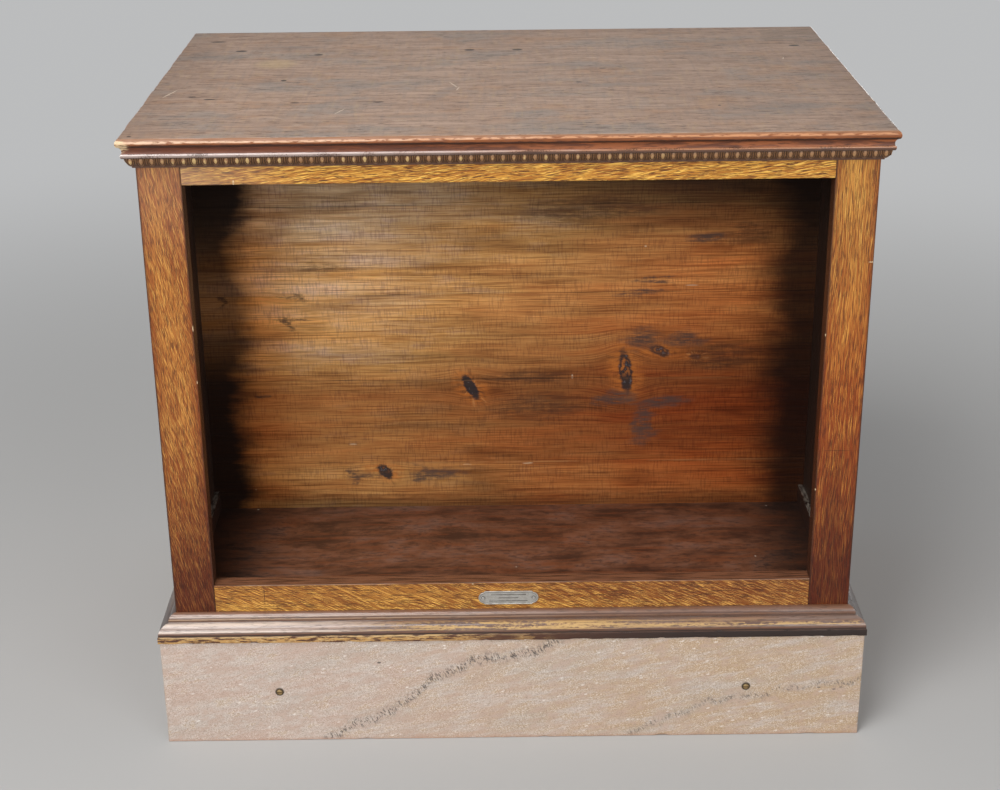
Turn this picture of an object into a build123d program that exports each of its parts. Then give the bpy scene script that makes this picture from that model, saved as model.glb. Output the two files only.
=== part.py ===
import os

from build123d import *

# Open bookcase of oak on a stone plinth, with two faces and a divider of pine half-way through it.
# X runs across the front, Y from the front face to the rear face, Z up from the floor.
# The origin is on the floor, under the middle of the case. All sizes are in millimetres.

# Case
body_width = 877.8
body_depth = 582.3
case_height = 651.55
arris_radius = 1.0
joint_clearance = 0.15

# Top board
top_thickness = 19.05
top_overhang = 18.3
nosing_height = 9.7
nosing_round = 4.2
nosing_lip = 1.2
cove_reach = 4.6

# Face frames
stile_width = 52.7
frame_thickness = 22.2
top_rail_height = 41.9
bottom_rail_height = 72.7
tenon_length = 30.0
tenon_thickness = 8.0
tenon_shoulder = 8.0

# Side panels
side_thickness = 14.45
side_tongue_length = 6.0
side_tongue_thickness = 6.0

# Divider of horizontal boards
divider_thickness = 19.7
lowest_board_height = 116.3
divider_board_height = 127.0
divider_tongue_height = 6.0
divider_tongue_thickness = 6.0
housing_depth = 5.0

# Bottom boards, and the cleats that stand on them along the sides
bottom_thickness = 19.0
bottom_drop = 27.3
cleat_thickness = 7.5
cleat_nail_spacing = 100.0
nail_radius = 1.0
nail_head_radius = 1.7
nail_head_height = 1.2
nail_bite = 8.0

# Battens inside the top, and their screws
batten_size = 19.0
side_batten_screw_spacing = 150.0
rail_batten_screw_spacing = 300.0
screw_radius = 2.0
screw_head_radius = 4.0
screw_bite = 12.0
countersink_angle = 82.0

# Moulding under the top
crown_height = 19.0
crown_fascia_height = 4.3
crown_fascia_projection = 14.0
crown_ovolo_top = 10.0
crown_ovolo_foot = 3.0

# Base moulding, from its fillet up
base_projection = 22.6
base_fillet_height = 9.2
base_step = 1.1
base_ovolo_rise = 14.6
base_ovolo_reach = 10.5
base_quirk_height = 2.2
base_quirk_reach = 2.0
base_bead_height = 9.0

# Stone plinth
plinth_height = 150.7
stone_thickness = 22.0
stone_projection = 20.6
stone_arris = 0.8
stone_screw_height = 75.0
stone_screw_spacing = 615.0
side_stone_screw_spacing = 360.0
stone_screw_radius = 2.5
stone_screw_head_radius = 5.25
stone_screw_dome = 1.6
stone_screw_slot_width = 1.2
stone_screw_slot_depth = 0.9
stone_screw_bite = 16.0

# Wooden frame inside the plinth
plinth_rail_thickness = 25.0
corner_block_size = 45.0

# Plate on the front bottom rail
plate_width = 78.0
plate_height = 19.3
plate_thickness = 1.2
plate_nose = 9.0
plate_rise = 50.7
plate_shift = -4.6
plate_pin_spacing = 65.7
pin_radius = 0.8
pin_head_radius = 2.0
pin_head_height = 1.1
pin_bite = 8.0

# Places that the pieces share
half_width = body_width / 2
half_depth = body_depth / 2
case_top = plinth_height + case_height
board_top = case_top + top_thickness
inner_half_width = half_width - side_thickness
opening_half_width = half_width - stile_width
frame_inside = half_depth - frame_thickness
frame_middle = half_depth - frame_thickness / 2
top_rail_foot = case_top - top_rail_height
bottom_rail_top = plinth_height + bottom_rail_height
bottom_board_top = bottom_rail_top - bottom_drop
bottom_board_foot = bottom_board_top - bottom_thickness
divider_half = divider_thickness / 2
housing_reach = inner_half_width + housing_depth
compartment_middle = (divider_half + frame_inside) / 2
stone_half_width = half_width + stone_projection
stone_half_depth = half_depth + stone_projection
plinth_half_width = stone_half_width - stone_thickness
plinth_half_depth = stone_half_depth - stone_thickness
plate_middle = plinth_height + plate_rise

sides = {"left": -1, "right": 1}
faces = {"front": -1, "rear": 1}
from_foot = (Align.CENTER, Align.CENTER, Align.MIN)
from_head = (Align.CENTER, Align.CENTER, Align.MAX)

diagonal = 0.5**0.5

os.makedirs("parts", exist_ok=True)


def save(piece, name):
    piece.label = name
    export_step(piece, f"parts/{name}.step")


def block(corner, opposite, mode=Mode.ADD):
    # Square block between two opposite corners
    low = [min(pair) for pair in zip(corner, opposite)]
    high = [max(pair) for pair in zip(corner, opposite)]
    middle = tuple((a + b) / 2 for a, b in zip(low, high))
    with Locations(middle):
        Box(*(b - a for a, b in zip(low, high)), mode=mode)


def outer_end(groups, face):
    # The group that lies furthest towards a face of the case
    return groups[0] if face < 0 else groups[-1]


# Fasteners, each made once with its seat at the origin and its shank along -Z
with BuildPart() as nail:
    Cylinder(nail_head_radius, nail_head_height, align=from_head)
    Cylinder(nail_radius, cleat_thickness + nail_bite, align=from_head)

with BuildPart() as wood_screw:
    with BuildSketch() as wood_screw_head:
        Circle(screw_head_radius)
    extrude(amount=-(screw_head_radius - screw_radius), taper=45)
    Cylinder(screw_radius, batten_size + screw_bite, align=from_head)

with BuildPart() as stone_screw:
    with BuildSketch(Plane.XZ) as stone_screw_section:
        with BuildLine():
            Polyline(
                (0, stone_screw_dome),
                (0, -stone_thickness - stone_screw_bite),
                (stone_screw_radius, -stone_thickness - stone_screw_bite),
                (stone_screw_radius, stone_screw_radius - stone_screw_head_radius),
                (stone_screw_head_radius, 0),
            )
            RadiusArc(
                (stone_screw_head_radius, 0),
                (0, stone_screw_dome),
                -(stone_screw_head_radius**2 + stone_screw_dome**2) / (2 * stone_screw_dome),
            )
        make_face()
    revolve(axis=Axis.Z)
    with Locations((0, 0, stone_screw_dome)):
        Box(
            2 * stone_screw_head_radius,
            stone_screw_slot_width,
            2 * stone_screw_slot_depth,
            mode=Mode.SUBTRACT,
        )

with BuildPart() as pin:
    Cylinder(pin_head_radius, pin_head_height, align=from_foot)
    fillet(pin.edges().group_by(Axis.Z)[-1], pin_head_height / 2)
    Cylinder(pin_radius, plate_thickness + pin_bite, align=from_head)


# Where the fasteners sit: each plane's normal points out of the head
def stone_screw_seats(outward, across, spacing):
    along = Vector(outward).cross(Vector(0, 0, 1))
    seats = []
    for step in (-0.5, 0.5):
        point = Vector(outward) * across + along * (step * spacing) + Vector(0, 0, stone_screw_height)
        seats.append(Plane(point, x_dir=along, z_dir=outward))
    return seats


def side_batten_seats(side, face):
    x = side * (inner_half_width - batten_size / 2)
    seats = []
    for step in (-0.5, 0.5):
        y = face * compartment_middle + step * side_batten_screw_spacing
        seats.append(Plane((x, y, case_top - batten_size), z_dir=(0, 0, -1)))
    return seats


def rail_batten_seats(face):
    y = face * (frame_inside - batten_size / 2)
    seats = []
    for step in (-1, 0, 1):
        x = step * rail_batten_screw_spacing
        seats.append(Plane((x, y, case_top - batten_size), z_dir=(0, 0, -1)))
    return seats


def cleat_nail_seats(side, face):
    x = side * (inner_half_width - cleat_thickness)
    z = bottom_board_top + bottom_drop / 2
    seats = []
    for step in (-1, 0, 1):
        y = face * compartment_middle + step * cleat_nail_spacing
        seats.append(Plane((x, y, z), z_dir=(-side, 0, 0)))
    return seats


corners = [(side, face) for side in sides.values() for face in faces.values()]
batten_seats = [seat for corner in corners for seat in side_batten_seats(*corner)]
batten_seats += [seat for face in faces.values() for seat in rail_batten_seats(face)]
nail_seats = [seat for corner in corners for seat in cleat_nail_seats(*corner)]
pin_seats = [
    Plane(
        (plate_shift + step * plate_pin_spacing, -half_depth - plate_thickness, plate_middle),
        z_dir=(0, -1, 0),
    )
    for step in (-0.5, 0.5)
]


# Top board: the same moulded edge runs along the sides and the ends, so two long sections are crossed
def top_section(plane, half_span):
    edge = half_span + top_overhang
    lip = edge - nosing_lip
    foot = lip - cove_reach
    nosing_foot = board_top - nosing_height
    cove_height = nosing_foot - case_top
    with BuildSketch(plane) as section:
        with BuildLine():
            Line((0, case_top), (foot, case_top))
            ThreePointArc(
                (foot, case_top),
                (lip - cove_reach * diagonal, case_top + cove_height * diagonal),
                (lip, nosing_foot),
            )
            ThreePointArc(
                (lip, nosing_foot),
                (edge, nosing_foot + nosing_height / 2),
                (edge - nosing_round, board_top),
            )
            Line((edge - nosing_round, board_top), (0, board_top))
            mirror(about=Plane.YZ)
        make_face()
    return section.sketch


with BuildPart() as top_board:
    extrude(top_section(Plane.XZ, half_width), amount=half_depth + top_overhang, both=True)
    end_section = top_section(Plane.YZ, half_depth)
    extrude(end_section, amount=half_width + top_overhang, both=True, mode=Mode.INTERSECT)
    with Locations(*(Plane(seat.origin + (0, 0, batten_size), z_dir=(0, 0, -1)) for seat in batten_seats)):
        Hole(screw_radius + joint_clearance, screw_bite + joint_clearance)
save(top_board.part, "top_board")


# Mouldings: a stick with a drawn section, standing on a foot and mitred round the corners of the case
def make_moulding(outward, half_along, half_across, foot, height, reach, outline):
    origin = Vector(outward) * half_across + Vector(0, 0, foot)
    along = Vector(outward).cross(Vector(0, 0, 1))
    with BuildPart() as moulding:
        section = outline(Plane(origin, x_dir=outward, z_dir=along))
        extrude(section, amount=half_along + reach, both=True)
        with BuildSketch(Plane(origin, x_dir=along, z_dir=(0, 0, 1))):
            with BuildLine():
                Polyline(
                    (-half_along, 0),
                    (half_along, 0),
                    (half_along + reach, reach),
                    (-half_along - reach, reach),
                    close=True,
                )
            make_face()
        extrude(amount=height, mode=Mode.INTERSECT)
    return moulding.part


def crown_outline(plane):
    fascia_foot = crown_height - crown_fascia_height
    ovolo_reach = crown_ovolo_top - crown_ovolo_foot
    with BuildSketch(plane) as section:
        with BuildLine():
            Line((0, 0), (crown_ovolo_foot, 0))
            ThreePointArc(
                (crown_ovolo_foot, 0),
                (crown_ovolo_foot + ovolo_reach * diagonal, fascia_foot / 2),
                (crown_ovolo_top, fascia_foot),
            )
            Polyline(
                (crown_ovolo_top, fascia_foot),
                (crown_fascia_projection, fascia_foot),
                (crown_fascia_projection, crown_height),
                (0, crown_height),
                (0, 0),
            )
        make_face()
    return section.sketch


base_ovolo_foot = base_projection - base_step
base_ovolo_head = base_ovolo_foot - base_ovolo_reach
base_bead_foot = base_fillet_height + base_ovolo_rise + base_quirk_height
base_bead_reach = base_ovolo_head - base_quirk_reach
base_height = base_bead_foot + base_bead_height


def base_outline(plane):
    ovolo_top = base_fillet_height + base_ovolo_rise
    with BuildSketch(plane) as section:
        with BuildLine():
            Polyline(
                (0, 0),
                (base_projection, 0),
                (base_projection, base_fillet_height),
                (base_ovolo_foot, base_fillet_height),
            )
            ThreePointArc(
                (base_ovolo_foot, base_fillet_height),
                (
                    base_ovolo_head + base_ovolo_reach * diagonal,
                    base_fillet_height + base_ovolo_rise * diagonal,
                ),
                (base_ovolo_head, ovolo_top),
            )
            Polyline((base_ovolo_head, ovolo_top), (base_bead_reach, ovolo_top), (base_bead_reach, base_bead_foot))
            ThreePointArc(
                (base_bead_reach, base_bead_foot),
                (base_bead_reach * diagonal, base_bead_foot + base_bead_height * diagonal),
                (0, base_height),
            )
            Line((0, base_height), (0, 0))
        make_face()
    return section.sketch


moulding_runs = {
    "front": ((0, -1, 0), half_width, half_depth),
    "rear": ((0, 1, 0), half_width, half_depth),
    "left": ((-1, 0, 0), half_depth, half_width),
    "right": ((1, 0, 0), half_depth, half_width),
}
for name, run in moulding_runs.items():
    crown_foot = case_top - crown_height
    crown = make_moulding(*run, crown_foot, crown_height, crown_fascia_projection, crown_outline)
    save(crown, f"{name}_crown_moulding")
    base = make_moulding(*run, plinth_height, base_height, base_projection, base_outline)
    save(base, f"{name}_base_moulding")


# Face frames: stiles the full height of the case, with rails tenoned between them
def tenon_block(end, face, low, high, clearance=0.0, mode=Mode.ADD):
    # From the middle of the frame out to the end of the tenon
    half = tenon_thickness / 2 + clearance
    middle = face * frame_middle
    foot = low + tenon_shoulder - clearance
    head = high - tenon_shoulder + clearance
    block((0, middle - half, foot), (end, middle + half, head), mode)


def make_stile(side, face):
    with BuildPart() as stile:
        block(
            (side * half_width, face * half_depth, plinth_height),
            (side * opening_half_width, face * frame_inside, case_top),
        )
        upright_edges = stile.edges().filter_by(Axis.Z).group_by(Axis.Y)
        fillet(outer_end(upright_edges, face), arris_radius)
        mortise_end = side * (opening_half_width + tenon_length + joint_clearance)
        for low, high in ((plinth_height, bottom_rail_top), (top_rail_foot, case_top)):
            tenon_block(mortise_end, face, low, high, joint_clearance, Mode.SUBTRACT)
        groove_middle = half_width - side_thickness / 2
        groove_half = side_tongue_thickness / 2 + joint_clearance
        block(
            (side * (groove_middle - groove_half), face * frame_inside, plinth_height),
            (
                side * (groove_middle + groove_half),
                face * (frame_inside + side_tongue_length + joint_clearance),
                case_top,
            ),
            Mode.SUBTRACT,
        )
    return stile.part


def make_rail(face, low, high, rounded):
    # The long edges that border the opening are rounded, one of a rail's two
    with BuildPart() as rail:
        block(
            (-opening_half_width, face * half_depth, low),
            (opening_half_width, face * frame_inside, high),
        )
        long_edges = outer_end(rail.edges().filter_by(Axis.X).group_by(Axis.Y), face)
        fillet(long_edges.sort_by(Axis.Z)[rounded], arris_radius)
        for side in sides.values():
            tenon_block(side * (opening_half_width + tenon_length), face, low, high)
    return rail.part


for face_name, face in faces.items():
    for side_name, side in sides.items():
        save(make_stile(side, face), f"{face_name}_{side_name}_stile")
    save(make_rail(face, top_rail_foot, case_top, 0), f"{face_name}_top_rail")

    with BuildPart() as bottom_rail:
        add(make_rail(face, plinth_height, bottom_rail_top, -1))
        block(
            (-opening_half_width, face * frame_inside, bottom_board_foot - joint_clearance),
            (
                opening_half_width,
                face * (frame_inside + housing_depth + joint_clearance),
                bottom_board_top + joint_clearance,
            ),
            Mode.SUBTRACT,
        )
        if face_name == "front":
            with Locations(*(Plane(seat.origin + (0, plate_thickness, 0), z_dir=(0, -1, 0)) for seat in pin_seats)):
                Hole(pin_radius + joint_clearance, pin_bite + joint_clearance)
    save(bottom_rail.part, f"{face_name}_bottom_rail")


# Side panels: tongued into the stiles, and housed for the divider and the bottom boards
for side_name, side in sides.items():
    panel_middle = half_width - side_thickness / 2
    tongue_end = frame_inside + side_tongue_length
    housing_end = side * (housing_reach + joint_clearance)
    divider_groove = divider_half + joint_clearance
    with BuildPart() as side_panel:
        block(
            (side * half_width, -frame_inside, plinth_height),
            (side * inner_half_width, frame_inside, case_top),
        )
        block(
            (side * (panel_middle - side_tongue_thickness / 2), -tongue_end, plinth_height),
            (side * (panel_middle + side_tongue_thickness / 2), tongue_end, case_top),
        )
        block(
            (side * inner_half_width, -divider_groove, plinth_height),
            (housing_end, divider_groove, case_top),
            Mode.SUBTRACT,
        )
        block(
            (side * inner_half_width, -frame_inside, bottom_board_foot - joint_clearance),
            (housing_end, frame_inside, bottom_board_top + joint_clearance),
            Mode.SUBTRACT,
        )
        for face in faces.values():
            inner_seats = [
                Plane(seat.origin + (side * cleat_thickness, 0, 0), z_dir=(-side, 0, 0))
                for seat in cleat_nail_seats(side, face)
            ]
            with Locations(*inner_seats):
                Hole(nail_radius + joint_clearance, nail_bite + joint_clearance)
    save(side_panel.part, f"{side_name}_side_panel")


# Divider: boards laid level, each with a tongue up into the next, the last one up to the top board
full_boards = int((case_height - lowest_board_height) // divider_board_height)
seams = [plinth_height]
seams += [plinth_height + lowest_board_height + step * divider_board_height for step in range(full_boards)]
seams += [case_top]
for number, (low, high) in enumerate(zip(seams, seams[1:]), start=1):
    tongue_half = divider_tongue_thickness / 2
    groove_half = tongue_half + joint_clearance
    with BuildPart() as divider_board:
        block((-housing_reach, -divider_half, low), (housing_reach, divider_half, high))
        if high < case_top:
            block(
                (-housing_reach, -tongue_half, high),
                (housing_reach, tongue_half, high + divider_tongue_height),
            )
        if low > plinth_height:
            block(
                (-housing_reach, -groove_half, low),
                (housing_reach, groove_half, low + divider_tongue_height + joint_clearance),
                Mode.SUBTRACT,
            )
    save(divider_board.part, f"divider_board_{number}")


# Bottom boards, cleats and battens of the two compartments
for face_name, face in faces.items():
    with BuildPart() as bottom_board:
        block(
            (-housing_reach, face * divider_half, bottom_board_foot),
            (housing_reach, face * frame_inside, bottom_board_top),
        )
        block(
            (-opening_half_width + joint_clearance, face * divider_half, bottom_board_foot),
            (opening_half_width - joint_clearance, face * (frame_inside + housing_depth), bottom_board_top),
        )
    save(bottom_board.part, f"{face_name}_bottom_board")

    with BuildPart() as rail_batten:
        batten_end = inner_half_width - batten_size
        block(
            (-batten_end, face * frame_inside, case_top - batten_size),
            (batten_end, face * (frame_inside - batten_size), case_top),
        )
        with Locations(*rail_batten_seats(face)):
            CounterSinkHole(
                screw_radius + joint_clearance,
                screw_head_radius + joint_clearance,
                batten_size,
                countersink_angle,
            )
    save(rail_batten.part, f"{face_name}_top_batten")

    for side_name, side in sides.items():
        with BuildPart() as shelf_cleat:
            block(
                (side * inner_half_width, face * divider_half, bottom_board_top),
                (side * (inner_half_width - cleat_thickness), face * frame_inside, bottom_rail_top),
            )
            with Locations(*cleat_nail_seats(side, face)):
                CounterBoreHole(
                    nail_radius + joint_clearance,
                    nail_head_radius + joint_clearance,
                    nail_head_height,
                    cleat_thickness,
                )
        save(shelf_cleat.part, f"{face_name}_{side_name}_shelf_cleat")

        with BuildPart() as side_batten:
            block(
                (side * inner_half_width, face * divider_half, case_top - batten_size),
                (side * (inner_half_width - batten_size), face * frame_inside, case_top),
            )
            with Locations(*side_batten_seats(side, face)):
                CounterSinkHole(
                    screw_radius + joint_clearance,
                    screw_head_radius + joint_clearance,
                    batten_size,
                    countersink_angle,
                )
        save(side_batten.part, f"{face_name}_{side_name}_top_batten")


# Stone slabs: front and rear the full width, the ends between them
def stone_holes(seats):
    with Locations(*seats):
        CounterSinkHole(
            stone_screw_radius + joint_clearance,
            stone_screw_head_radius + joint_clearance,
            stone_thickness,
            countersink_angle,
        )


stone_seats = {
    "front": stone_screw_seats((0, -1, 0), stone_half_depth, stone_screw_spacing),
    "rear": stone_screw_seats((0, 1, 0), stone_half_depth, stone_screw_spacing),
    "left": stone_screw_seats((-1, 0, 0), stone_half_width, side_stone_screw_spacing),
    "right": stone_screw_seats((1, 0, 0), stone_half_width, side_stone_screw_spacing),
}

for face_name, face in faces.items():
    with BuildPart() as stone_slab:
        block(
            (-stone_half_width, face * stone_half_depth, 0),
            (stone_half_width, face * plinth_half_depth, plinth_height),
        )
        shown_face = outer_end(stone_slab.faces().sort_by(Axis.Y), face)
        chamfer(shown_face.edges(), stone_arris)
        stone_holes(stone_seats[face_name])
    save(stone_slab.part, f"{face_name}_stone_slab")

    with BuildPart() as plinth_rail:
        block(
            (-plinth_half_width, face * plinth_half_depth, 0),
            (plinth_half_width, face * (plinth_half_depth - plinth_rail_thickness), plinth_height),
        )
        with Locations(*stone_seats[face_name]):
            Hole(stone_screw_radius + joint_clearance, stone_thickness + stone_screw_bite + joint_clearance)
    save(plinth_rail.part, f"{face_name}_plinth_rail")

for side_name, side in sides.items():
    rail_end = plinth_half_depth - plinth_rail_thickness
    with BuildPart() as stone_slab:
        block(
            (side * stone_half_width, -plinth_half_depth, 0),
            (side * plinth_half_width, plinth_half_depth, plinth_height),
        )
        shown_face = outer_end(stone_slab.faces().sort_by(Axis.X), side)
        chamfer(shown_face.edges().filter_by(Axis.Y), stone_arris)
        stone_holes(stone_seats[side_name])
    save(stone_slab.part, f"{side_name}_stone_slab")

    with BuildPart() as plinth_rail:
        block(
            (side * plinth_half_width, -rail_end, 0),
            (side * (plinth_half_width - plinth_rail_thickness), rail_end, plinth_height),
        )
        with Locations(*stone_seats[side_name]):
            Hole(stone_screw_radius + joint_clearance, stone_thickness + stone_screw_bite + joint_clearance)
    save(plinth_rail.part, f"{side_name}_plinth_rail")

with BuildPart() as plinth_bearer:
    bearer_end = plinth_half_width - plinth_rail_thickness
    block(
        (-bearer_end, -plinth_rail_thickness / 2, 0),
        (bearer_end, plinth_rail_thickness / 2, plinth_height),
    )
save(plinth_bearer.part, "plinth_bearer")

with BuildPart() as corner_blocks:
    with BuildSketch():
        for side, face in corners:
            corner_x = side * (plinth_half_width - plinth_rail_thickness)
            corner_y = face * (plinth_half_depth - plinth_rail_thickness)
            with BuildLine():
                Polyline(
                    (corner_x, corner_y),
                    (corner_x - side * corner_block_size, corner_y),
                    (corner_x, corner_y - face * corner_block_size),
                    close=True,
                )
            make_face()
    extrude(amount=plinth_height)
save(corner_blocks.part, "plinth_corner_blocks")


# Plate with pointed ends, and its two pins
with BuildPart() as plate:
    with BuildSketch(Plane((plate_shift, -half_depth, plate_middle), x_dir=(1, 0, 0), z_dir=(0, -1, 0))):
        straight_half = plate_width / 2 - plate_nose
        with BuildLine():
            Line((-straight_half, plate_height / 2), (straight_half, plate_height / 2))
            ThreePointArc(
                (straight_half, plate_height / 2),
                (plate_width / 2, 0),
                (straight_half, -plate_height / 2),
            )
            Line((straight_half, -plate_height / 2), (-straight_half, -plate_height / 2))
            ThreePointArc(
                (-straight_half, -plate_height / 2),
                (-plate_width / 2, 0),
                (-straight_half, plate_height / 2),
            )
        make_face()
    extrude(amount=plate_thickness)
    with Locations(*pin_seats):
        Hole(pin_radius + joint_clearance, plate_thickness)
save(plate.part, "plate")

fastener_groups = {
    "plate_pins": (pin, pin_seats),
    "cleat_nails": (nail, nail_seats),
    "batten_screws": (wood_screw, batten_seats),
    "stone_screws": (stone_screw, [seat for seats in stone_seats.values() for seat in seats]),
}
for name, (fastener, seats) in fastener_groups.items():
    with BuildPart() as group:
        with Locations(*seats):
            add(fastener.part)
    save(group.part, name)
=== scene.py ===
import bmesh
import bpy
import math
import random
from mathutils import Matrix, Vector, noise


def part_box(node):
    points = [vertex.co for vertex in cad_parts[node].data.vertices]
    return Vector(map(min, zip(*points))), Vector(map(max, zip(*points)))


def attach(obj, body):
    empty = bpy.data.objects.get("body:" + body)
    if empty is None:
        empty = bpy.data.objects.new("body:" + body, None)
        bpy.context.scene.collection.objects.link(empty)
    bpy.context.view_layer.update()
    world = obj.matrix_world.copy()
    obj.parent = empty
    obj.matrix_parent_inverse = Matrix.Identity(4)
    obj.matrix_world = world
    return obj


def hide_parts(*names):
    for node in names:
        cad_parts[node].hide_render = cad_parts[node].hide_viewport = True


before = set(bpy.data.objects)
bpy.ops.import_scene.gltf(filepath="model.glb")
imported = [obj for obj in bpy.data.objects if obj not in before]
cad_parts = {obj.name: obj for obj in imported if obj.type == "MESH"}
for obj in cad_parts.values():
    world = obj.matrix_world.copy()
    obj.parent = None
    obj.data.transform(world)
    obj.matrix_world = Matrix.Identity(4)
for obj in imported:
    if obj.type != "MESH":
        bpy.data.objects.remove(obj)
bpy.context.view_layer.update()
mm = 0.001
print("bookcase: frame loaded,", len(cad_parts), "nodes")


def boxOf(node):
    low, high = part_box(node)
    return [c / mm for c in low], [c / mm for c in high]


# places that the pieces share, read from the frame, in millimetres
stileLow, stileHigh = boxOf("front_right_stile")
halfWidth, halfDepth = stileHigh[0], -stileLow[1]
plinthHeight, caseTop = stileLow[2], stileHigh[2]
boardTop = boxOf("top_board")[1][2]
panelThickness = 14.45
panelInside = boxOf("right_side_panel")[1][0] - panelThickness
faces, sides = ("front", "rear"), ("left", "right")
runs = {
    "front": (Vector((0, -1, 0)), halfWidth, halfDepth),
    "rear": (Vector((0, 1, 0)), halfWidth, halfDepth),
    "left": (Vector((-1, 0, 0)), halfDepth, halfWidth),
    "right": (Vector((1, 0, 0)), halfDepth, halfWidth),
}


# shader sheets: one class for sums on sockets, one for the sheet they lie on

class Wire:
    def __init__(self, sheet, socket):
        self.sheet = sheet
        self.socket = socket

    def math(self, operation, *values):
        return self.sheet.node("ShaderNodeMath", {"operation": operation}, dict(enumerate(values)))

    def __add__(self, other):
        return self.math("ADD", self, other)

    def __sub__(self, other):
        return self.math("SUBTRACT", self, other)

    def __rsub__(self, other):
        return self.math("SUBTRACT", other, self)

    def __mul__(self, other):
        return self.math("MULTIPLY", self, other)

    def __truediv__(self, other):
        return self.math("DIVIDE", self, other)

    def __or__(self, other):
        return self.math("MAXIMUM", self, other)

    def __abs__(self):
        return self.math("ABSOLUTE", self)

    def fade(self):
        # 1 at 0, dying away
        return self.math("EXPONENT", self * -1.0)

    def root(self):
        return self.math("SQRT", self)

    def stir(self, cloud, reach):
        # moved to and fro by a noise, by up to half the reach
        return self + (cloud - 0.5) * reach

    def ease(self, low, high):
        # soft step: 0 at low and 1 at high, either way round
        values = {"Value": self, "From Min": low, "From Max": high}
        return self.sheet.node("ShaderNodeMapRange", {"interpolation_type": "SMOOTHSTEP"}, values)

    __radd__ = __add__
    __rmul__ = __mul__


class Sheet:
    def __init__(self, name, look=None):
        # a new finish by name, or the world; look holds the colours that lay() knows by name
        self.finish = bpy.data.materials.new(name) if isinstance(name, str) else name
        self.finish.use_nodes = True
        self.tree = self.finish.node_tree
        self.tree.nodes.clear()
        self.look = look
        spot = self.node("ShaderNodeTexCoord", out=3)  # the part's own frame, here in millimetres
        self.places = [self.node("ShaderNodeSeparateXYZ", {}, {0: spot}, i) * 1000.0 for i in range(3)]
        self.x, self.y, self.z = self.places

    def node(self, kind, settings=None, values=None, out=0):
        made = self.tree.nodes.new(kind)
        for key, setting in (settings or {}).items():
            if key == "stops":
                self.setStops(made.color_ramp.elements, setting)
            else:
                setattr(made, key, setting)
        for key, value in (values or {}).items():
            if isinstance(value, Wire):
                self.tree.links.new(value.socket, made.inputs[key])
            else:
                made.inputs[key].default_value = value
        return Wire(self, made.outputs[out]) if made.outputs else None

    def setStops(self, elements, stops):
        while len(elements) < len(stops):
            elements.new(0.5)
        for element, (place, colour) in zip(elements, stops):
            element.position = place
            element.color = (*colour, 1.0)

    def axis(self, name):
        return {"x": self.x, "y": self.y, "z": self.z}[name]

    def follow(self, axes, seed):
        # places along, across and through a board, shifted so that no two boards share a figure
        shift = random.Random(seed)
        self.places = [self.axis(axis) + shift.uniform(300.0, 4000.0) for axis in axes]

    def bend(self, along, across, through, reach):
        # lets the grain wander sideways
        drift = self.grain(along, across, through)
        self.places[1] = self.places[1].stir(drift, reach)

    def noise(self, x, y, z, detail=2.0, rough=0.5):
        # fractal noise whose cells are one unit wide in the given coordinates
        spot = self.node("ShaderNodeCombineXYZ", {}, {0: x, 1: y, 2: z})
        values = {"Vector": spot, "Scale": 1.0, "Detail": detail, "Roughness": rough}
        return self.node("ShaderNodeTexNoise", {}, values)

    def grain(self, along, across, through, detail=2.0, rough=0.5):
        # noise over the sheet's places, given its cells to the millimetre each way
        cells = zip(self.places, (along, across, through))
        return self.noise(*(place * count for place, count in cells), detail, rough)

    def specks(self, x, y, z, size, share):
        # round specks scattered one to a cell: their size in cells, and the share of cells that hold one
        spot = self.node("ShaderNodeCombineXYZ", {}, {0: x, 1: y, 2: z})
        values = {"Vector": spot, "Scale": 1.0}
        away, tone = (self.node("ShaderNodeTexVoronoi", {}, values, i) for i in range(2))
        chance = self.node("ShaderNodeSeparateColor", {}, {0: tone})
        return away.ease(size, size * 0.5) * chance.math("LESS_THAN", chance, share)

    def carving(self):
        # how far a point stands up in its carving, from the mesh
        return self.node("ShaderNodeAttribute", {"attribute_name": "carve"}, {}, 2)

    def ramp(self, value, stops):
        return self.node("ShaderNodeValToRGB", {"stops": stops}, {0: value})

    def tint(self, share, ground, colour, blend="MIX"):
        ground, colour = (c if isinstance(c, Wire) else (*c, 1.0) for c in (ground, colour))
        settings = {"data_type": "RGBA", "blend_type": blend}
        return self.node("ShaderNodeMix", settings, {0: share, 6: ground, 7: colour}, 2)

    def lay(self, share, colour, blend="MIX"):
        # one more layer on the sheet's colour: a colour, or the name of one in its look
        colour = self.look[colour] if isinstance(colour, str) else colour
        self.colour = self.tint(share, self.colour, colour, blend)

    def near(self, across, up, middle, reach, lean=0.0):
        # squared distance in an oval: 0 in its middle and 1 on its rim
        rise = up - middle[1]
        run = (across - middle[0] + rise * lean) / reach[0]
        rise = rise / reach[1]
        return run * run + rise * rise

    def marks(self, across, up, spots, soft=0.2):
        # one mask for a list of small ovals: middle across and up, half length and half height, and any lean
        total = None
        for middleAcross, middleUp, halfLength, halfHeight, *lean in spots:
            oval = self.near(across, up, (middleAcross, middleUp), (halfLength, halfHeight), *lean)
            mask = oval.ease(1.0, soft)
            total = mask if total is None else total | mask
        return total

    def surface(self, rough, height, depth, more=None):
        # height is bumped to a depth in millimetres
        bump = self.node("ShaderNodeBump", {}, {"Strength": 1.0, "Distance": depth * mm, "Height": height})
        values = {"Base Color": self.colour, "Roughness": rough, "Normal": bump, **(more or {})}
        shader = self.node("ShaderNodeBsdfPrincipled", {}, values)
        self.node("ShaderNodeOutputMaterial", {}, {0: shader})
        return self.finish


def edgeShade(sheet, axis, box, reach):
    # 1 along the two long edges of a face, from the node's own box
    index = "xyz".index(axis)
    low, high = box[0][index], box[1][index]
    half = (high - low) / 2
    return abs(sheet.axis(axis) - (low + high) / 2).ease(half - reach, half)


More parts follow.
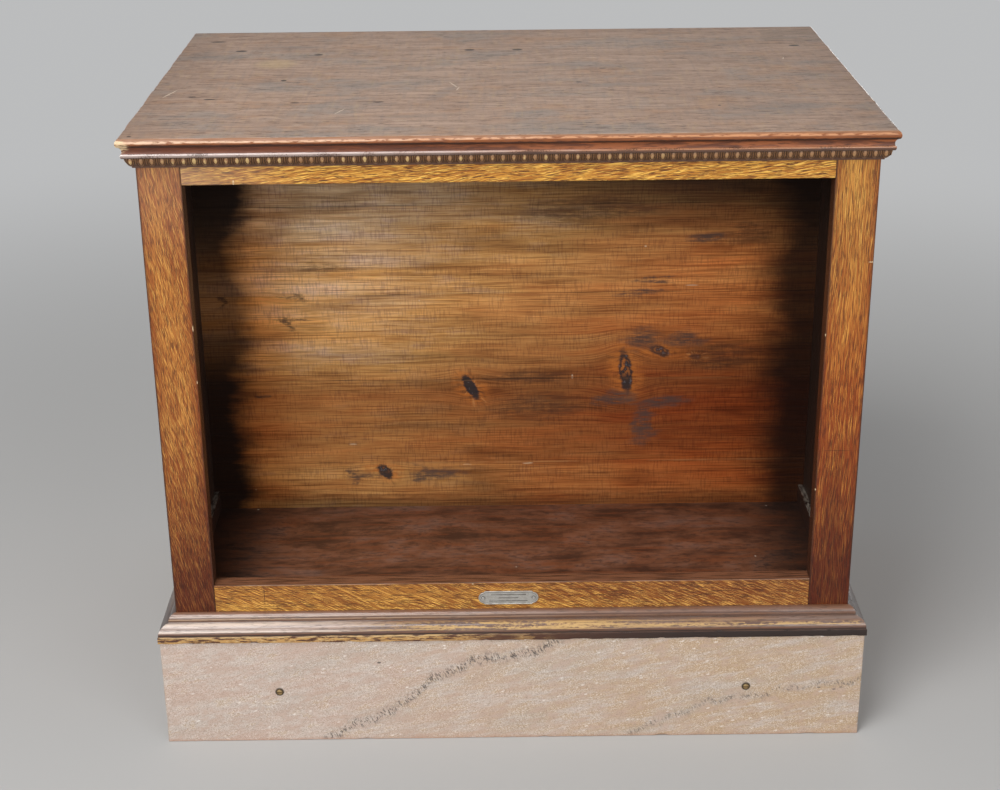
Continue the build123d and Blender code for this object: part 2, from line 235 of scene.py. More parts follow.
def byHeight(sheet, stops):
    # a colour or a number that changes with the height above the floor
    stops = [(place, value if isinstance(value, tuple) else (value,) * 3) for place, value in stops]
    return sheet.ramp(sheet.z / boardTop, [(place / boardTop, value) for place, value in stops])


def dress(node, finish):
    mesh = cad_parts[node].data
    mesh.materials.clear()
    mesh.materials.append(finish)


# oak of the face frames

stileLook = {
    "pale": (0.50, 0.195, 0.035), "mid": (0.27, 0.074, 0.012), "deep": (0.070, 0.018, 0.005),
    "red": (0.21, 0.042, 0.006), "fleck": (0.74, 0.39, 0.085), "flecks": 0.62, "fine": 1.5, "wave": 10.0,
    "pores": 0.66, "redShare": 0.6, "strands": 0.65, "edge": 0.95, "edgeReach": 18.0, "edgeRed": 0.9,
    "foot": (0.42, 0.32, 0.32),
    "slants": {"front_left": -0.24, "front_right": 0.03, "rear_left": 0.05, "rear_right": 0.2},
    "lengths": {"front_left": 0.060, "front_right": 0.024, "rear_left": 0.030, "rear_right": 0.050},
    "reddens": {
        "front_left": (430, 180), "front_right": (620, 440), "rear_left": (500, 200),
        "rear_right": (640, 300),
    },
    "chips": {
        "front_left": [(-386.6, 580, 0.9, 4.5), (-386.6, 509, 0.6, 2.5)],
        "front_right": [(435.7, 655.5, 3.2, 0.8), (386.6, 562, 0.6, 2), (386.6, 352, 0.7, 1.5)],
        "rear_left": [(-386.8, 520, 0.8, 4)],
        "rear_right": [(386.8, 480, 0.8, 3)],
    },
    "cracks": {"front_right": [(410, 406, 24, 0.7)], "rear_left": [(-412, 330, 20, 0.6)]},
    "tones": {
        "front_left": [
            (230, (0.90, 0.83, 0.85)), (340, (0.84, 0.80, 0.82)), (480, (0.92, 0.93, 1.0)),
            (740, (0.92, 0.90, 0.90)),
        ],
        "front_right": [(230, (0.92, 0.79, 0.77)), (500, (1.0, 0.82, 0.64)), (740, (1.07, 1.22, 1.28))],
        "rear_left": [(230, (0.92, 0.82, 0.80)), (740, (1.04, 1.10, 1.10))],
        "rear_right": [(230, (0.95, 0.90, 0.94)), (740, (0.94, 0.92, 0.92))],
    },
}
topRailLook = {
    "pale": (0.60, 0.285, 0.040), "mid": (0.33, 0.112, 0.013), "deep": (0.09, 0.025, 0.005),
    "red": (0.36, 0.12, 0.018), "fleck": (0.88, 0.52, 0.10), "flecks": 0.85, "fine": 1.2, "wave": 14.0,
    "pores": 0.9, "redShare": 0.35, "edge": 0.2, "edgeReach": 6.0, "edgeRed": 0.1,
    "slants": {"front": 0.16, "rear": -0.12}, "lengths": {"front": 0.056, "rear": 0.05},
    "chips": {"front": [(-325, 763, 1.1, 3.6)], "rear": [(210, 762.5, 3.0, 2.2)]}, "cracks": {},
}
bottomRailLook = {
    "pale": (0.44, 0.183, 0.031), "mid": (0.205, 0.060, 0.010), "deep": (0.065, 0.018, 0.004),
    "red": (0.21, 0.058, 0.010), "fleck": (0.78, 0.405, 0.083), "flecks": 0.90, "fine": 1.3, "wave": 8.0,
    "pores": 0.75, "redShare": 0.6, "edge": 0.3, "edgeReach": 6.0, "edgeRed": 0.1,
    "slants": {"front": -0.46, "rear": 0.40}, "lengths": {"front": 0.052, "rear": 0.05},
    "chips": {"front": [(-51, 221.8, 1.6, 0.9)], "rear": [(120, 221.5, 3.0, 1.4)]},
    "cracks": {"front": [(-322, 208, 0.7, 17)]},
}
frameLook = {
    "dirtAndShade": (0.050, 0.016, 0.007), "ledge": (0.22, 0.090, 0.045), "ledgeDeep": (0.085, 0.034, 0.018),
    "ledgeArris": (0.46, 0.31, 0.22), "paintedSheen": (0.37, 0.25, 0.185), "farEnd": (0.80, 0.73, 0.85),
    "railFoot": (1.18, 1.30, 1.35),
    "gloss": 0.34, "paintedVeil": {"front_left_stile": 0.18, "front_top_rail": 0.45},
}
bareWood = (0.70, 0.52, 0.31)


def oakFinish(name, axes, look, key):
    box = boxOf(name)
    sheet = Sheet(name, look)
    x, y, z = sheet.x, sheet.y, sheet.z
    sheet.follow(axes, name)
    sheet.bend(0.009, 0.03, 0.03, look["wave"])
    along, across, through = sheet.places
    slant, length, fine = look["slants"][key], look["lengths"][key], look["fine"]
    lean = across + through - along * slant
    figure = sheet.noise(along * length * 0.6, lean * fine * 0.6, through * 0.2, 2.0, 0.6)
    flecks = sheet.noise(along * length + 40.0, lean * fine, through * 0.3, 2.0)
    pores = sheet.grain(0.060, 0.85, 0.85, 2.0, 0.6)
    patches = sheet.grain(0.008, 0.035, 0.03, 3.0)
    poreMask, fleckMask = pores.ease(0.53, 0.61), flecks.ease(0.54, 0.61)
    onStile, onFoot = name.endswith("stile"), name.endswith("bottom_rail")
    sheet.colour = sheet.ramp(figure, [(0.40, look["mid"]), (0.60, look["pale"])])
    if onStile:
        # long fine strands of grain
        strands = (across + through - along * slant * 0.4) * 0.42
        strands = sheet.noise(along * 0.008, strands, 6.0, 3.0, 0.65)
        sheet.lay(strands.ease(0.50, 0.60) * look["strands"], "mid")
        sheet.lay(strands.ease(0.48, 0.38) * look["strands"], "pale")
    sheet.lay(patches.ease(0.46, 0.66) * look["redShare"], "red")
    # redder along the edges of the shown face, and towards the foot or the right
    shallow = abs(y).ease(halfDepth - 3.0, halfDepth - 1.0)
    shown = 1.0 - abs(x).ease(halfWidth - 0.8, halfWidth - 0.3) * (1.0 - shallow)
    side = edgeShade(sheet, axes[1], box, look["edgeReach"]) * patches.ease(0.66, 0.40) * shown
    sheet.lay(side * look["edgeRed"], "red")
    if onStile:
        sheet.lay(z.stir(patches, 300.0).ease(*look["reddens"][key]) * 0.85, "red")
    if onFoot:
        sheet.lay(x.stir(patches, 300.0).ease(-220.0, 300.0) * 0.75, "red")
    sheet.lay(fleckMask * look["flecks"] * (1.0 - side * look["edgeRed"] * 0.7), "fleck")
    sheet.lay(poreMask * look["pores"], "deep")
    if onStile:
        sheet.lay(1.0, byHeight(sheet, look["tones"][key]), "MULTIPLY")
        sheet.lay(z.stir(patches, 240.0).ease(440.0, 220.0), "foot", "MULTIPLY")
    if onFoot:
        sheet.lay(x.ease(-60.0, 380.0) * 0.9, frameLook["farEnd"], "MULTIPLY")
        sheet.lay(z.ease(207.0, 190.0), frameLook["railFoot"], "MULTIPLY")
    if name in frameLook["paintedVeil"]:
        # paler and greyer towards the top left corner: painted sheen on the varnish
        paintedVeil = x.stir(patches, 120.0).ease(-220.0, -400.0) * z.ease(640.0, 770.0)
        sheet.lay(paintedVeil * frameLook["paintedVeil"][name], frameLook["paintedSheen"])
    if onStile:
        # painted shade on the inner faces of the stiles, beside the opening
        opening = min(abs(box[0][0]), abs(box[1][0]))
        inner = abs(x).ease(opening + 2.0, opening + 0.4) * (1.0 - shallow)
        sheet.lay(inner * 0.75, frameLook["dirtAndShade"])
    grime = edgeShade(sheet, axes[1], box, 3.5) * look["edge"] * patches.ease(0.25, 0.55) * shown
    sheet.lay(grime, frameLook["dirtAndShade"])
    if onFoot:
        # old stain and dust on the ledge behind the front arris
        top = box[1][2]
        worn = sheet.noise(along * 0.02, through * 0.30, 3.0, 3.0)
        worn = sheet.tint(worn.ease(0.44, 0.62), frameLook["ledge"], frameLook["ledgeDeep"])
        sheet.lay(z.ease(top - 0.5, top - 0.1) * 0.95, worn)
        # a pale line along the front arris: wear with a painted highlight
        arris = abs(y).ease(halfDepth - 2.4, halfDepth - 0.8) * z.ease(top - 1.0, top - 0.3)
        sheet.lay(arris * patches.ease(0.62, 0.44) * 0.4, frameLook["ledgeArris"])
    if key in look["cracks"]:
        sheet.lay(sheet.marks(x, z, look["cracks"][key], 0.2) * 0.7, "deep")
    chipped = sheet.marks(x, z, look["chips"][key], 0.5) * shallow * flecks.ease(0.30, 0.5)
    sheet.lay(chipped, bareWood)
    rough = frameLook["gloss"] + patches * 0.12 + poreMask * 0.15
    height = fleckMask * 0.4 - poreMask - chipped
    return sheet.surface(rough, height, 0.2, {"Specular IOR Level": 0.35})


for face in faces:
    for side in sides:
        node = f"{face}_{side}_stile"
        dress(node, oakFinish(node, "zxy", stileLook, f"{face}_{side}"))
    for node, look in ((f"{face}_top_rail", topRailLook), (f"{face}_bottom_rail", bottomRailLook)):
        dress(node, oakFinish(node, "xzy", look, face))
print("bookcase: face frames dressed")


# side panels: oak outside, nearly black inside

panelLook = {
    "pale": (0.50, 0.24, 0.065), "mid": (0.36, 0.14, 0.035), "deep": (0.12, 0.038, 0.012),
    "red": (0.24, 0.065, 0.017), "fleck": (0.66, 0.36, 0.12), "ring": (0.22, 0.075, 0.017),
    "innerDark": (0.022, 0.0115, 0.0075), "innerDarkPale": (0.05, 0.022, 0.012),
}


def panelFinish(name):
    look = panelLook
    sheet = Sheet(name, look)
    sheet.follow("zyx", name)
    sheet.bend(0.003, 0.012, 0.02, 60.0)
    along, across, through = sheet.places
    bands = sheet.grain(0.0015, 0.06, 0.05, 4.0)
    pores = sheet.grain(0.04, 0.7, 0.7, 3.0, 0.6)
    flecks = sheet.noise(along * 0.03, (across + along * 0.2) * 0.30, through * 0.2, 2.0)
    patches = sheet.grain(0.004, 0.012, 0.02, 3.0)
    rings = sheet.grain(0.0018, 0.16, 0.1, 3.0, 0.65)
    poreMask, fleckMask = pores.ease(0.53, 0.66), flecks.ease(0.58, 0.70)
    sheet.colour = sheet.ramp(bands, [(0.34, look["mid"]), (0.64, look["pale"])])
    sheet.lay(patches.ease(0.45, 0.70) * 0.6, "red")
    sheet.lay(rings.ease(0.52, 0.64) * 0.55, "ring")
    sheet.lay(rings.ease(0.46, 0.36) * 0.4, "fleck")
    sheet.lay(fleckMask * 0.5, "fleck")
    sheet.lay(poreMask * 0.7, "deep")
    sheet.lay(sheet.z.stir(patches, 220.0).ease(460.0, 190.0) * 0.6, "red")
    innerDark = sheet.tint(bands.ease(0.4, 0.7) * 0.5, look["innerDark"], look["innerDarkPale"])
    sheet.lay(abs(sheet.x).ease(panelInside + 3.0, panelInside + 1.0), innerDark)
    return sheet.surface(0.38 + patches * 0.14 + poreMask * 0.12, fleckMask * 0.3 - poreMask, 0.2)


for side in sides:
    node = f"{side}_side_panel"
    dress(node, panelFinish(node))


# pine boards of the divider, stained, with their knots and scuffs

pineLook = {
    "chroma": [
        (0.0, (1.0, 0.20, 0.040)), (0.35, (1.0, 0.335, 0.088)), (0.70, (1.0, 0.51, 0.165)),
        (1.0, (1.0, 0.70, 0.42)),
    ],
    "line": (0.60, 0.50, 0.44), "light": (1.22, 1.24, 1.22), "hair": (0.68, 0.61, 0.57),
    "dusk": (0.50, 0.40, 0.35), "lilac": (0.80, 0.78, 1.05), "weave": (0.78, 0.76, 0.80),
    "black": (0.008, 0.004, 0.003), "edge": (0.34, 0.165, 0.06), "amber": (0.52, 0.16, 0.028),
    "cream": (0.60, 0.28, 0.10), "knot": (0.022, 0.020, 0.022), "glint": (0.30, 0.29, 0.32),
    "scuff": (0.070, 0.045, 0.038), "rub": (0.62, 0.50, 0.36), "soot": (0.060, 0.026, 0.014),
    "ember": (0.95, 0.66, 0.45), "tongue": 6.0, "knotReach": 12.0,
    "dip": ((80, 450), (170, 260)), "strong": ((-60, 238), (130, 30)), "bay": ((-425, 505), (140, 70)),
}
# knots: middle across and up, half length and half height, lean, how dark, and how much amber shows inside
knots = [
    ((165, 402), (8.0, 29.0), 0.12, 0.88, 0.9), ((212, 433), (11.0, 8.0), 0.7, 0.70, 0.8),
    ((-53, 382), (7.5, 17.0), 0.45, 1.0, 0.0), ((-178, 252), (9.0, 10.5), 0.6, 0.90, 0.3),
    ((262, 424), (9.0, 3.5), 0.0, 0.5, 0.0),
]
# soft dark smears left by handling, and pale rubs
scuffs = [
    (-306, 515, 30, 7), (-287, 516, 12, 12), (-394, 516, 10, 12), (-308, 476, 8, 16), (-300, 480, 30, 4),
    (182, 518, 44, 6), (-226, 246, 9, 22), (-205, 250, 34, 9), (216, 355, 60, 14), (150, 366, 34, 16),
    (190, 322, 22, 38), (-100, 252, 46, 11), (-124, 250, 12, 20), (190, 446, 34, 22), (246, 448, 34, 16),
    (206, 541, 30, 6), (272, 598, 34, 10), (-342, 372, 16, 5),
]
soots = [
    (120, 640, 130, 22), (46, 352, 80, 32), (20, 395, 90, 10), (330, 604, 46, 22), (300, 425, 60, 26),
    (-250, 560, 60, 12),
]
rubs = [
    (254, 530, 11, 1.0), (-222, 296, 7, 1.1), (-365, 226, 1.8, 1.4), (-122, 512, 1.2, 1.6),
    (90, 396, 1.6, 4.5), (27, 263, 9, 1.5), (189, 587, 2.0, 1.6), (-60, 262, 8, 1.2),
]
# how the stain and a painted pool of light change from the foot of the divider to its top: value on the left
# and the right, and hue
pineHeights = {
    "left": [
        (245, 0.40), (285, 0.40), (326, 0.35), (380, 0.36), (428, 0.49), (480, 0.58), (540, 0.62),
        (608, 0.53), (650, 0.47),
    ],
    "right": [
        (245, 0.38), (285, 0.29), (372, 0.25), (428, 0.31), (480, 0.52), (565, 0.58), (608, 0.38),
        (643, 0.15), (690, 0.08),
    ],
    "hue": [
        (245, 0.64), (285, 0.52), (372, 0.50), (428, 0.74), (520, 0.80), (565, 0.80), (608, 0.90), (690, 1.0),
    ],
}
boardTones = {1: 1.0, 2: 0.94, 3: 1.03, 4: 1.0, 5: 0.97}


def pineFinish(number):
    look = pineLook
    name = f"divider_board_{number}"
    low, high = boxOf(name)
    seamLow, seamHigh = low[2], high[2] - (look["tongue"] if number < len(boardTones) else 0.0)
    sheet = Sheet(name, look)
    x, z = sheet.x, sheet.z
    sheet.follow("xzy", name)
    # the grain flows round each knot, and the knots are ragged
    ragX = x.stir(sheet.noise(x * 0.10, z * 0.10, 0.5, 3.0, 0.6), 9.0)
    ragZ = z.stir(sheet.noise(x * 0.10, z * 0.10, 9.5, 3.0, 0.6), 9.0)
    smear = sheet.noise(x * 0.05, z * 0.22, 1.0, 4.0, 0.65)
    heart = halo = rays = opened = None
    for middle, reach, lean, dark, inside in knots:
        if not seamLow - look["knotReach"] < middle[1] < seamHigh + look["knotReach"]:
            continue
        away = z - middle[1]
        pull = sheet.near(x, z, middle, (reach[0] * 4.5, reach[1] * 1.6), lean * 0.4)
        sheet.places[1] = sheet.places[1] + away * pull.fade() * -0.6
        oval = sheet.near(ragX, ragZ, middle, reach, lean)
        core = oval.stir(smear, 1.3).ease(2.0, 0.5) * dark
        hollow = oval.stir(smear, 0.9).ease(0.8, 0.2) * inside
        hollow = hollow * away.ease(reach[1] * -0.5, reach[1] * 0.3)
        rim = sheet.near(ragX, ragZ, middle, (reach[0] * 4.0, reach[1] * 2.0), lean).ease(1.0, 0.1)
        # strokes of pale and dark wood running out from the knot
        angle = away.math("ARCTAN2", away, x - middle[0])
        stroke = sheet.noise(angle * 3.4, oval * 0.10, middle[0], 2.0) - 0.5
        stroke = oval.ease(7.0, 2.0) * oval.ease(1.0, 2.0) * stroke * (1.0 - inside)
        if heart is None:
            heart, halo, rays, opened = core, rim, stroke, hollow
        else:
            heart, halo, rays, opened = heart | core, halo | rim, rays + stroke, opened | hollow
    sheet.bend(0.004, 0.02, 0.02, 7.0)
    along, across, through = sheet.places
    lines = sheet.grain(0.0045, 0.46, 0.1, 2.0, 0.6)
    hairs = sheet.grain(0.020, 0.72, 0.6, 2.0, 0.6)
    streaks = sheet.grain(0.0046, 0.040, 0.05, 4.0, 0.6)
    dusk = sheet.noise(along * 0.0065 + 7.0, across * 0.038, through * 0.05, 3.0, 0.55)
    broad = sheet.noise(x * 0.005 + 3.0, z * 0.007, 5.0, 3.0)
    mottle = sheet.noise(x * 0.020, z * 0.050, 11.0, 5.0, 0.65)
    weave = sheet.noise(x * 0.42, z * 0.05, 2.0, 2.0)
    # golden left of the middle, red and dark towards the right, brightest in a band half-way up: stain with a
    # painted pool of light, and the left part brightened with painted light against the shade that falls
    # there
    toRight = x.stir(broad, 260.0).ease(-230.0, 340.0)
    left, right, hue = (byHeight(sheet, pineHeights[key]) for key in ("left", "right", "hue"))
    hue = (hue - toRight * 0.44).stir(streaks, 0.6).stir(mottle, 0.3)
    dip = sheet.near(x, z, *look["dip"]).fade() * 0.18
    value = left * (1.0 - toRight) + right * toRight
    value = value * (1.0 + x.ease(-140.0, -300.0) * 0.28 - dip) * boardTones[number]
    value = value * (1.0 + (dusk - 0.5) * -0.8 + (mottle - 0.5) * 0.5)
    sheet.colour = sheet.ramp(hue, look["chroma"])
    lineMask = lines.ease(0.51, 0.61)
    layers = [
        (1.0, value), (dusk.ease(0.54, 0.70) * 0.4, "dusk"),
        (mottle.stir(streaks, 0.5).ease(0.52, 0.66) * (1.0 - toRight) * 0.45, "lilac"),
        (lineMask * (sheet.near(x, z, *look["strong"]).fade() * 0.4 + 0.6), "line"),
        (lines.ease(0.46, 0.36) * 0.5, "light"), (hairs.ease(0.50, 0.62) * 0.8, "hair"),
        (hairs.ease(0.46, 0.36) * 0.6, "light"), (weave.ease(0.49, 0.60) * mottle.ease(0.36, 0.56), "weave"),
    ]
    for share, colour in layers:
        sheet.lay(share, colour, "MULTIPLY")
    if heart is not None:
        sheet.lay(halo * smear.ease(0.36, 0.62) * 0.65, "amber")
        sheet.lay(rays.ease(0.02, 0.16) * 0.45, "cream")
        sheet.lay(rays.ease(-0.02, -0.16) * 0.45, "soot")
        sheet.lay(heart.ease(0.0, 0.9) * 0.95, "knot")
        inner = sheet.noise(x * 0.16, z * 0.12, 3.0, 3.0)
        sheet.lay(opened * inner.ease(0.40, 0.58) * 0.85, "amber")
        sheet.lay(heart * inner.ease(0.40, 0.33) * 0.25, "glint")
    spread = ragX.stir(mottle, 80.0), ragZ.stir(streaks, 50.0)
    smudged = smear.stir(hairs, 0.3).ease(0.29, 0.58)
    for key, places, spots, soft, share in (
        ("soot", spread, soots, 0.0, smudged * 0.6), ("scuff", spread, scuffs, 0.0, smudged * 0.85),
        ("rub", (x, z), rubs, 0.2, hairs.ease(0.36, 0.5) * 0.6),
    ):
        found = [spot for spot in spots if seamLow - spot[3] < spot[1] < seamHigh + spot[3]]
        if found:
            sheet.lay(sheet.marks(*places, found, soft) * share, key)
    # dirt and shade in the corners of the compartment
    wander = (broad - 0.5) * 50.0 + (dusk - 0.5) * 40.0 + (mottle - 0.5) * 40.0
    bay = sheet.near(x, z, *look["bay"]).fade()
    sheet.lay((x - wander).ease(-270.0, -370.0) * 0.8, "ember", "MULTIPLY")
    leftEnd = (x - wander - z.ease(590.0, 680.0) * 26.0).ease(-338.0, -392.0) * (0.98 - bay * 0.26)
    rightEnd = (x - wander).ease(322.0, 398.0) * 0.93
    topEdge = (z + wander * 0.4).ease(635.0, 715.0) * x.ease(-160.0, 200.0) * 0.8
    floorEdge = z.stir(smear, 20.0).ease(226.0, 202.0) * 0.55
    sheet.lay(leftEnd | rightEnd | topEdge | floorEdge, "black")
    # seams between the boards, the lowest one worn pale
    gap = abs(z - seamLow).ease(1.2, 0.4) | abs(z - seamHigh).ease(0.8, 0.3)
    arris = abs(z - seamHigh + 1.8).ease(1.6, 0.5) * broad.stir(smear, 0.5).ease(0.42, 0.56)
    sheet.lay(arris * (1.0 - (leftEnd | rightEnd)) * (0.6 if number == 1 else 0.18), "edge")
    sheet.lay(gap * dusk.ease(0.44, 0.58) * 0.6, "black")
    rough = 0.42 + lineMask * 0.10 + streaks * 0.12
    height = lineMask * -0.5 + hairs * 0.3 - gap * 0.5
    return sheet.surface(rough, height, 0.25, {"Specular IOR Level": 0.12})


for number in boardTones:
    dress(f"divider_board_{number}", pineFinish(number))
print("bookcase: divider dressed")


# bottom boards and cleats: smooth dark stain with dust

shelfLook = {
    "mid": (0.172, 0.070, 0.036), "pale": (0.25, 0.115, 0.070), "deep": (0.060, 0.025, 0.015),
    "red": (0.20, 0.060, 0.022), "slate": (0.13, 0.085, 0.068), "black": (0.010, 0.005, 0.004),
    "dust": (0.55, 0.50, 0.42),
}


def shelfFinish(name, axes):
    look = shelfLook
    sheet = Sheet(name, look)
    x, y, z = sheet.x, sheet.y, sheet.z
    sheet.follow(axes, name)
    sheet.bend(0.004, 0.015, 0.015, 40.0)
    lines = sheet.grain(0.010, 0.13, 0.13, 4.0, 0.65)
    cloud = sheet.grain(0.010, 0.022, 0.022, 5.0, 0.65)
    pores = sheet.grain(0.09, 0.32, 0.32, 3.0, 0.6)
    sheet.colour = sheet.ramp(cloud, [(0.38, look["deep"]), (0.50, look["mid"]), (0.63, look["pale"])])
    sheet.lay(lines.ease(0.49, 0.62) * 0.6, "red")
    sheet.lay(lines.ease(0.46, 0.36) * 0.55, "deep")
    sheet.lay(cloud.stir(pores, 0.5).ease(0.53, 0.64) * 0.5, "slate")
    sheet.lay(pores.ease(0.51, 0.62) * 0.6, "deep")
    # darker towards both ends, in the corners of the compartment: dirt and painted shade
    sheet.lay(abs(x).stir(cloud, 260.0).ease(310.0, 425.0) * 0.9, "black")
    dust = sheet.specks(x * 0.030, y * 0.030, z * 0.030, 0.060, 0.26)
    sheet.lay(dust * 0.9, "dust")
    if name.endswith("cleat"):
        low, high = boxOf(name)
        far = max(abs(low[1]), abs(high[1]))
        end = abs(y).ease(far - 3.0, far - 0.5) | z.ease(high[2] - 1.6, high[2] - 0.4) * 0.5
        sheet.lay(end * pores.ease(0.62, 0.40) * 0.6, "dust")
    height = lines * -0.3 - pores.ease(0.55, 0.68)
    return sheet.surface(0.34 + cloud * 0.22 + dust * 0.3, height, 0.12)


for face in faces:
    dress(f"{face}_bottom_board", shelfFinish(f"{face}_bottom_board", "xyz"))
    for side in sides:
        node = f"{face}_{side}_shelf_cleat"
        dress(node, shelfFinish(node, "yzx"))


# pine that was never stained: battens under the top and the frame inside the plinth

barePineLook = {
    "pale": (0.60, 0.42, 0.24), "mid": (0.46, 0.29, 0.145), "line": (0.30, 0.16, 0.07),
    "dirtAndShade": (0.16, 0.11, 0.075),
}


def barePineFinish(name, axes):
    look = barePineLook
    sheet = Sheet(name, look)
    sheet.follow(axes, name)
    sheet.bend(0.005, 0.02, 0.02, 12.0)
    lines = sheet.grain(0.0015, 0.22, 0.22, 2.0)
    hairs = sheet.grain(0.01, 1.0, 1.0, 2.0)
    dirtAndShade = sheet.grain(0.010, 0.02, 0.02, 3.0)
    sheet.colour = sheet.ramp(lines, [(0.36, look["pale"]), (0.54, look["mid"]), (0.66, look["line"])])
    sheet.lay(hairs.ease(0.54, 0.70) * 0.4, "line")
    sheet.lay(dirtAndShade.ease(0.50, 0.75) * 0.6, "dirtAndShade")
    return sheet.surface(0.66 + dirtAndShade * 0.16, lines * -1.0, 0.25)


barePine = {axes: barePineFinish(f"bare_pine_{axes[0]}", axes) for axes in ("xyz", "yxz", "zxy")}
for face in faces:
    dress(f"{face}_top_batten", barePine["xyz"])
    dress(f"{face}_plinth_rail", barePine["xyz"])
    for side in sides:
        dress(f"{face}_{side}_top_batten", barePine["yxz"])
for side in sides:
    dress(f"{side}_plinth_rail", barePine["yxz"])
dress("plinth_bearer", barePine["xyz"])
dress("plinth_corner_blocks", barePine["zxy"])


# metal: brass screws in the stone, steel nails and screws, the pins of the plate

metalLook = {
    "stone_screws": {
        "bright": (0.52, 0.36, 0.17), "tarnish": (0.10, 0.06, 0.03), "rough": 0.36, "cover": 0.5,
        "rim": (1.25, 0.5),
    },
    "cleat_nails": {"bright": (0.36, 0.35, 0.34), "tarnish": (0.09, 0.05, 0.03), "rough": 0.45, "cover": 0.6},
    "batten_screws": {
        "bright": (0.42, 0.41, 0.40), "tarnish": (0.12, 0.07, 0.045), "rough": 0.42, "cover": 0.5,
    },
    "plate_pins": {
        "bright": (0.70, 0.68, 0.64), "tarnish": (0.07, 0.06, 0.05), "rough": 0.30, "cover": 0.35,
        "rim": (1.0, 0.6),
    },
}
headDirt = (0.030, 0.020, 0.014)


def proudOf(sheet, name):
    # how far a head stands out of what it is set in
    if name == "plate_pins":
        return boxOf("plate")[0][1] - sheet.y
    return (abs(sheet.x) - boxOf("right_stone_slab")[1][0]) | (abs(sheet.y) - boxOf("rear_stone_slab")[1][1])


def metalFinish(name, look):
    sheet = Sheet(name, look)
    cloud = sheet.grain(0.35, 0.35, 0.35, 3.0)
    fine = sheet.grain(2.2, 2.2, 2.2, 2.0)
    dull = cloud.stir(fine, 0.4).ease(0.36, 0.62) * look["cover"]
    sheet.colour = sheet.tint(dull, look["bright"], look["tarnish"])
    if "rim" in look:
        # dirt in the rims of the heads, their middles rubbed clean
        rim = proudOf(sheet, name).ease(*look["rim"]) * 0.9
        dull = dull | rim
        sheet.lay(rim, headDirt)
    return sheet.surface(look["rough"] + dull * 0.3, fine, 0.05, {"Metallic": 1.0 - dull * 0.4})


for node, look in metalLook.items():
    dress(node, metalFinish(node, look))
print("bookcase: inside and fasteners dressed")


# mesh tools: outlines are lists of (reach, height) pairs in millimetres, going round anticlockwise

def arcPoints(start, middle, end, steps):
    # along the circle through three points
    (ax, ay), (bx, by), (cx, cy) = start, middle, end
    spread = 2 * (ax * (by - cy) + bx * (cy - ay) + cx * (ay - by))
    aa, bb, cc = ax * ax + ay * ay, bx * bx + by * by, cx * cx + cy * cy
    centreX = (aa * (by - cy) + bb * (cy - ay) + cc * (ay - by)) / spread
    centreY = (aa * (cx - bx) + bb * (ax - cx) + cc * (bx - ax)) / spread
    radius = math.hypot(ax - centreX, ay - centreY)
    first = math.atan2(ay - centreY, ax - centreX)
    turn = (math.atan2(cy - centreY, cx - centreX) - first) % math.tau
    bend = (math.atan2(by - centreY, bx - centreX) - first) % math.tau
    if bend > turn:
        turn -= math.tau
    angles = [first + turn * i / steps for i in range(steps + 1)]
    return [(centreX + radius * math.cos(a), centreY + radius * math.sin(a)) for a in angles]


def softened(outline, radius, limit=0.6):
    # the same closed outline with each sharp corner eased
    made = []
    for i, point in enumerate(outline):
        here = Vector(point)
        back = Vector(outline[i - 1]) - here
        on = Vector(outline[(i + 1) % len(outline)]) - here
        if back.angle(-on) < limit:
            made.append(tuple(here))
            continue
        start = here + back.normalized() * min(radius, back.length / 2)
        end = here + on.normalized() * min(radius, on.length / 2)
        for t in (0.0, 0.35, 0.65, 1.0):
            made.append(tuple(start * (1 - t) ** 2 + here * 2 * t * (1 - t) + end * t * t))
    return made


def outlineNormals(outline):
    made = []
    for i in range(len(outline)):
        tangent = Vector(outline[(i + 1) % len(outline)]) - Vector(outline[i - 1])
        made.append(Vector((tangent.y, -tangent.x)).normalized())
    return made


def newMesh():
    bm = bmesh.new()
    bm.verts.layers.float.new("carve")
    return bm


def bridge(bm, rows, closed=True):
    # faces between each row of points and the next, and a cap at both ends of a closed stick
    count = len(rows[0])
    for row, nextRow in zip(rows, rows[1:]):
        for i in range(count if closed else count - 1):
            j = (i + 1) % count
            bm.faces.new((row[i], row[j], nextRow[j], nextRow[i]))
    if closed:
        bm.faces.new(rows[0])
        bm.faces.new(rows[-1])


def addObject(name, data):
    made = bpy.data.objects.new(name, data)
    bpy.context.collection.objects.link(made)
    return made


def sweepInto(bm, outline, run, foot, columns, push, closed=True):
    # a stick with the outline for its section, mitred at both ends
    # push gives how far a point moves out, and its carving
    outward, halfAlong, halfAcross = run
    along = Vector((0, 0, 1)).cross(outward)
    carve = bm.verts.layers.float["carve"]
    normals = outlineNormals(outline)
    rows = []
    for s in columns:
        row = []
        for index, (point, normal) in enumerate(zip(outline, normals)):
            move, carved = push(s, index)
            reach, height = point[0] + normal.x * move, point[1] + normal.y * move
            end = halfAlong + reach
            spot = outward * (halfAcross + reach) + along * max(-end, min(end, s))
            vert = bm.verts.new((spot + Vector((0, 0, foot + height))) * mm)
            vert[carve] = carved
            row.append(vert)
        rows.append(row)
    bridge(bm, rows, closed)


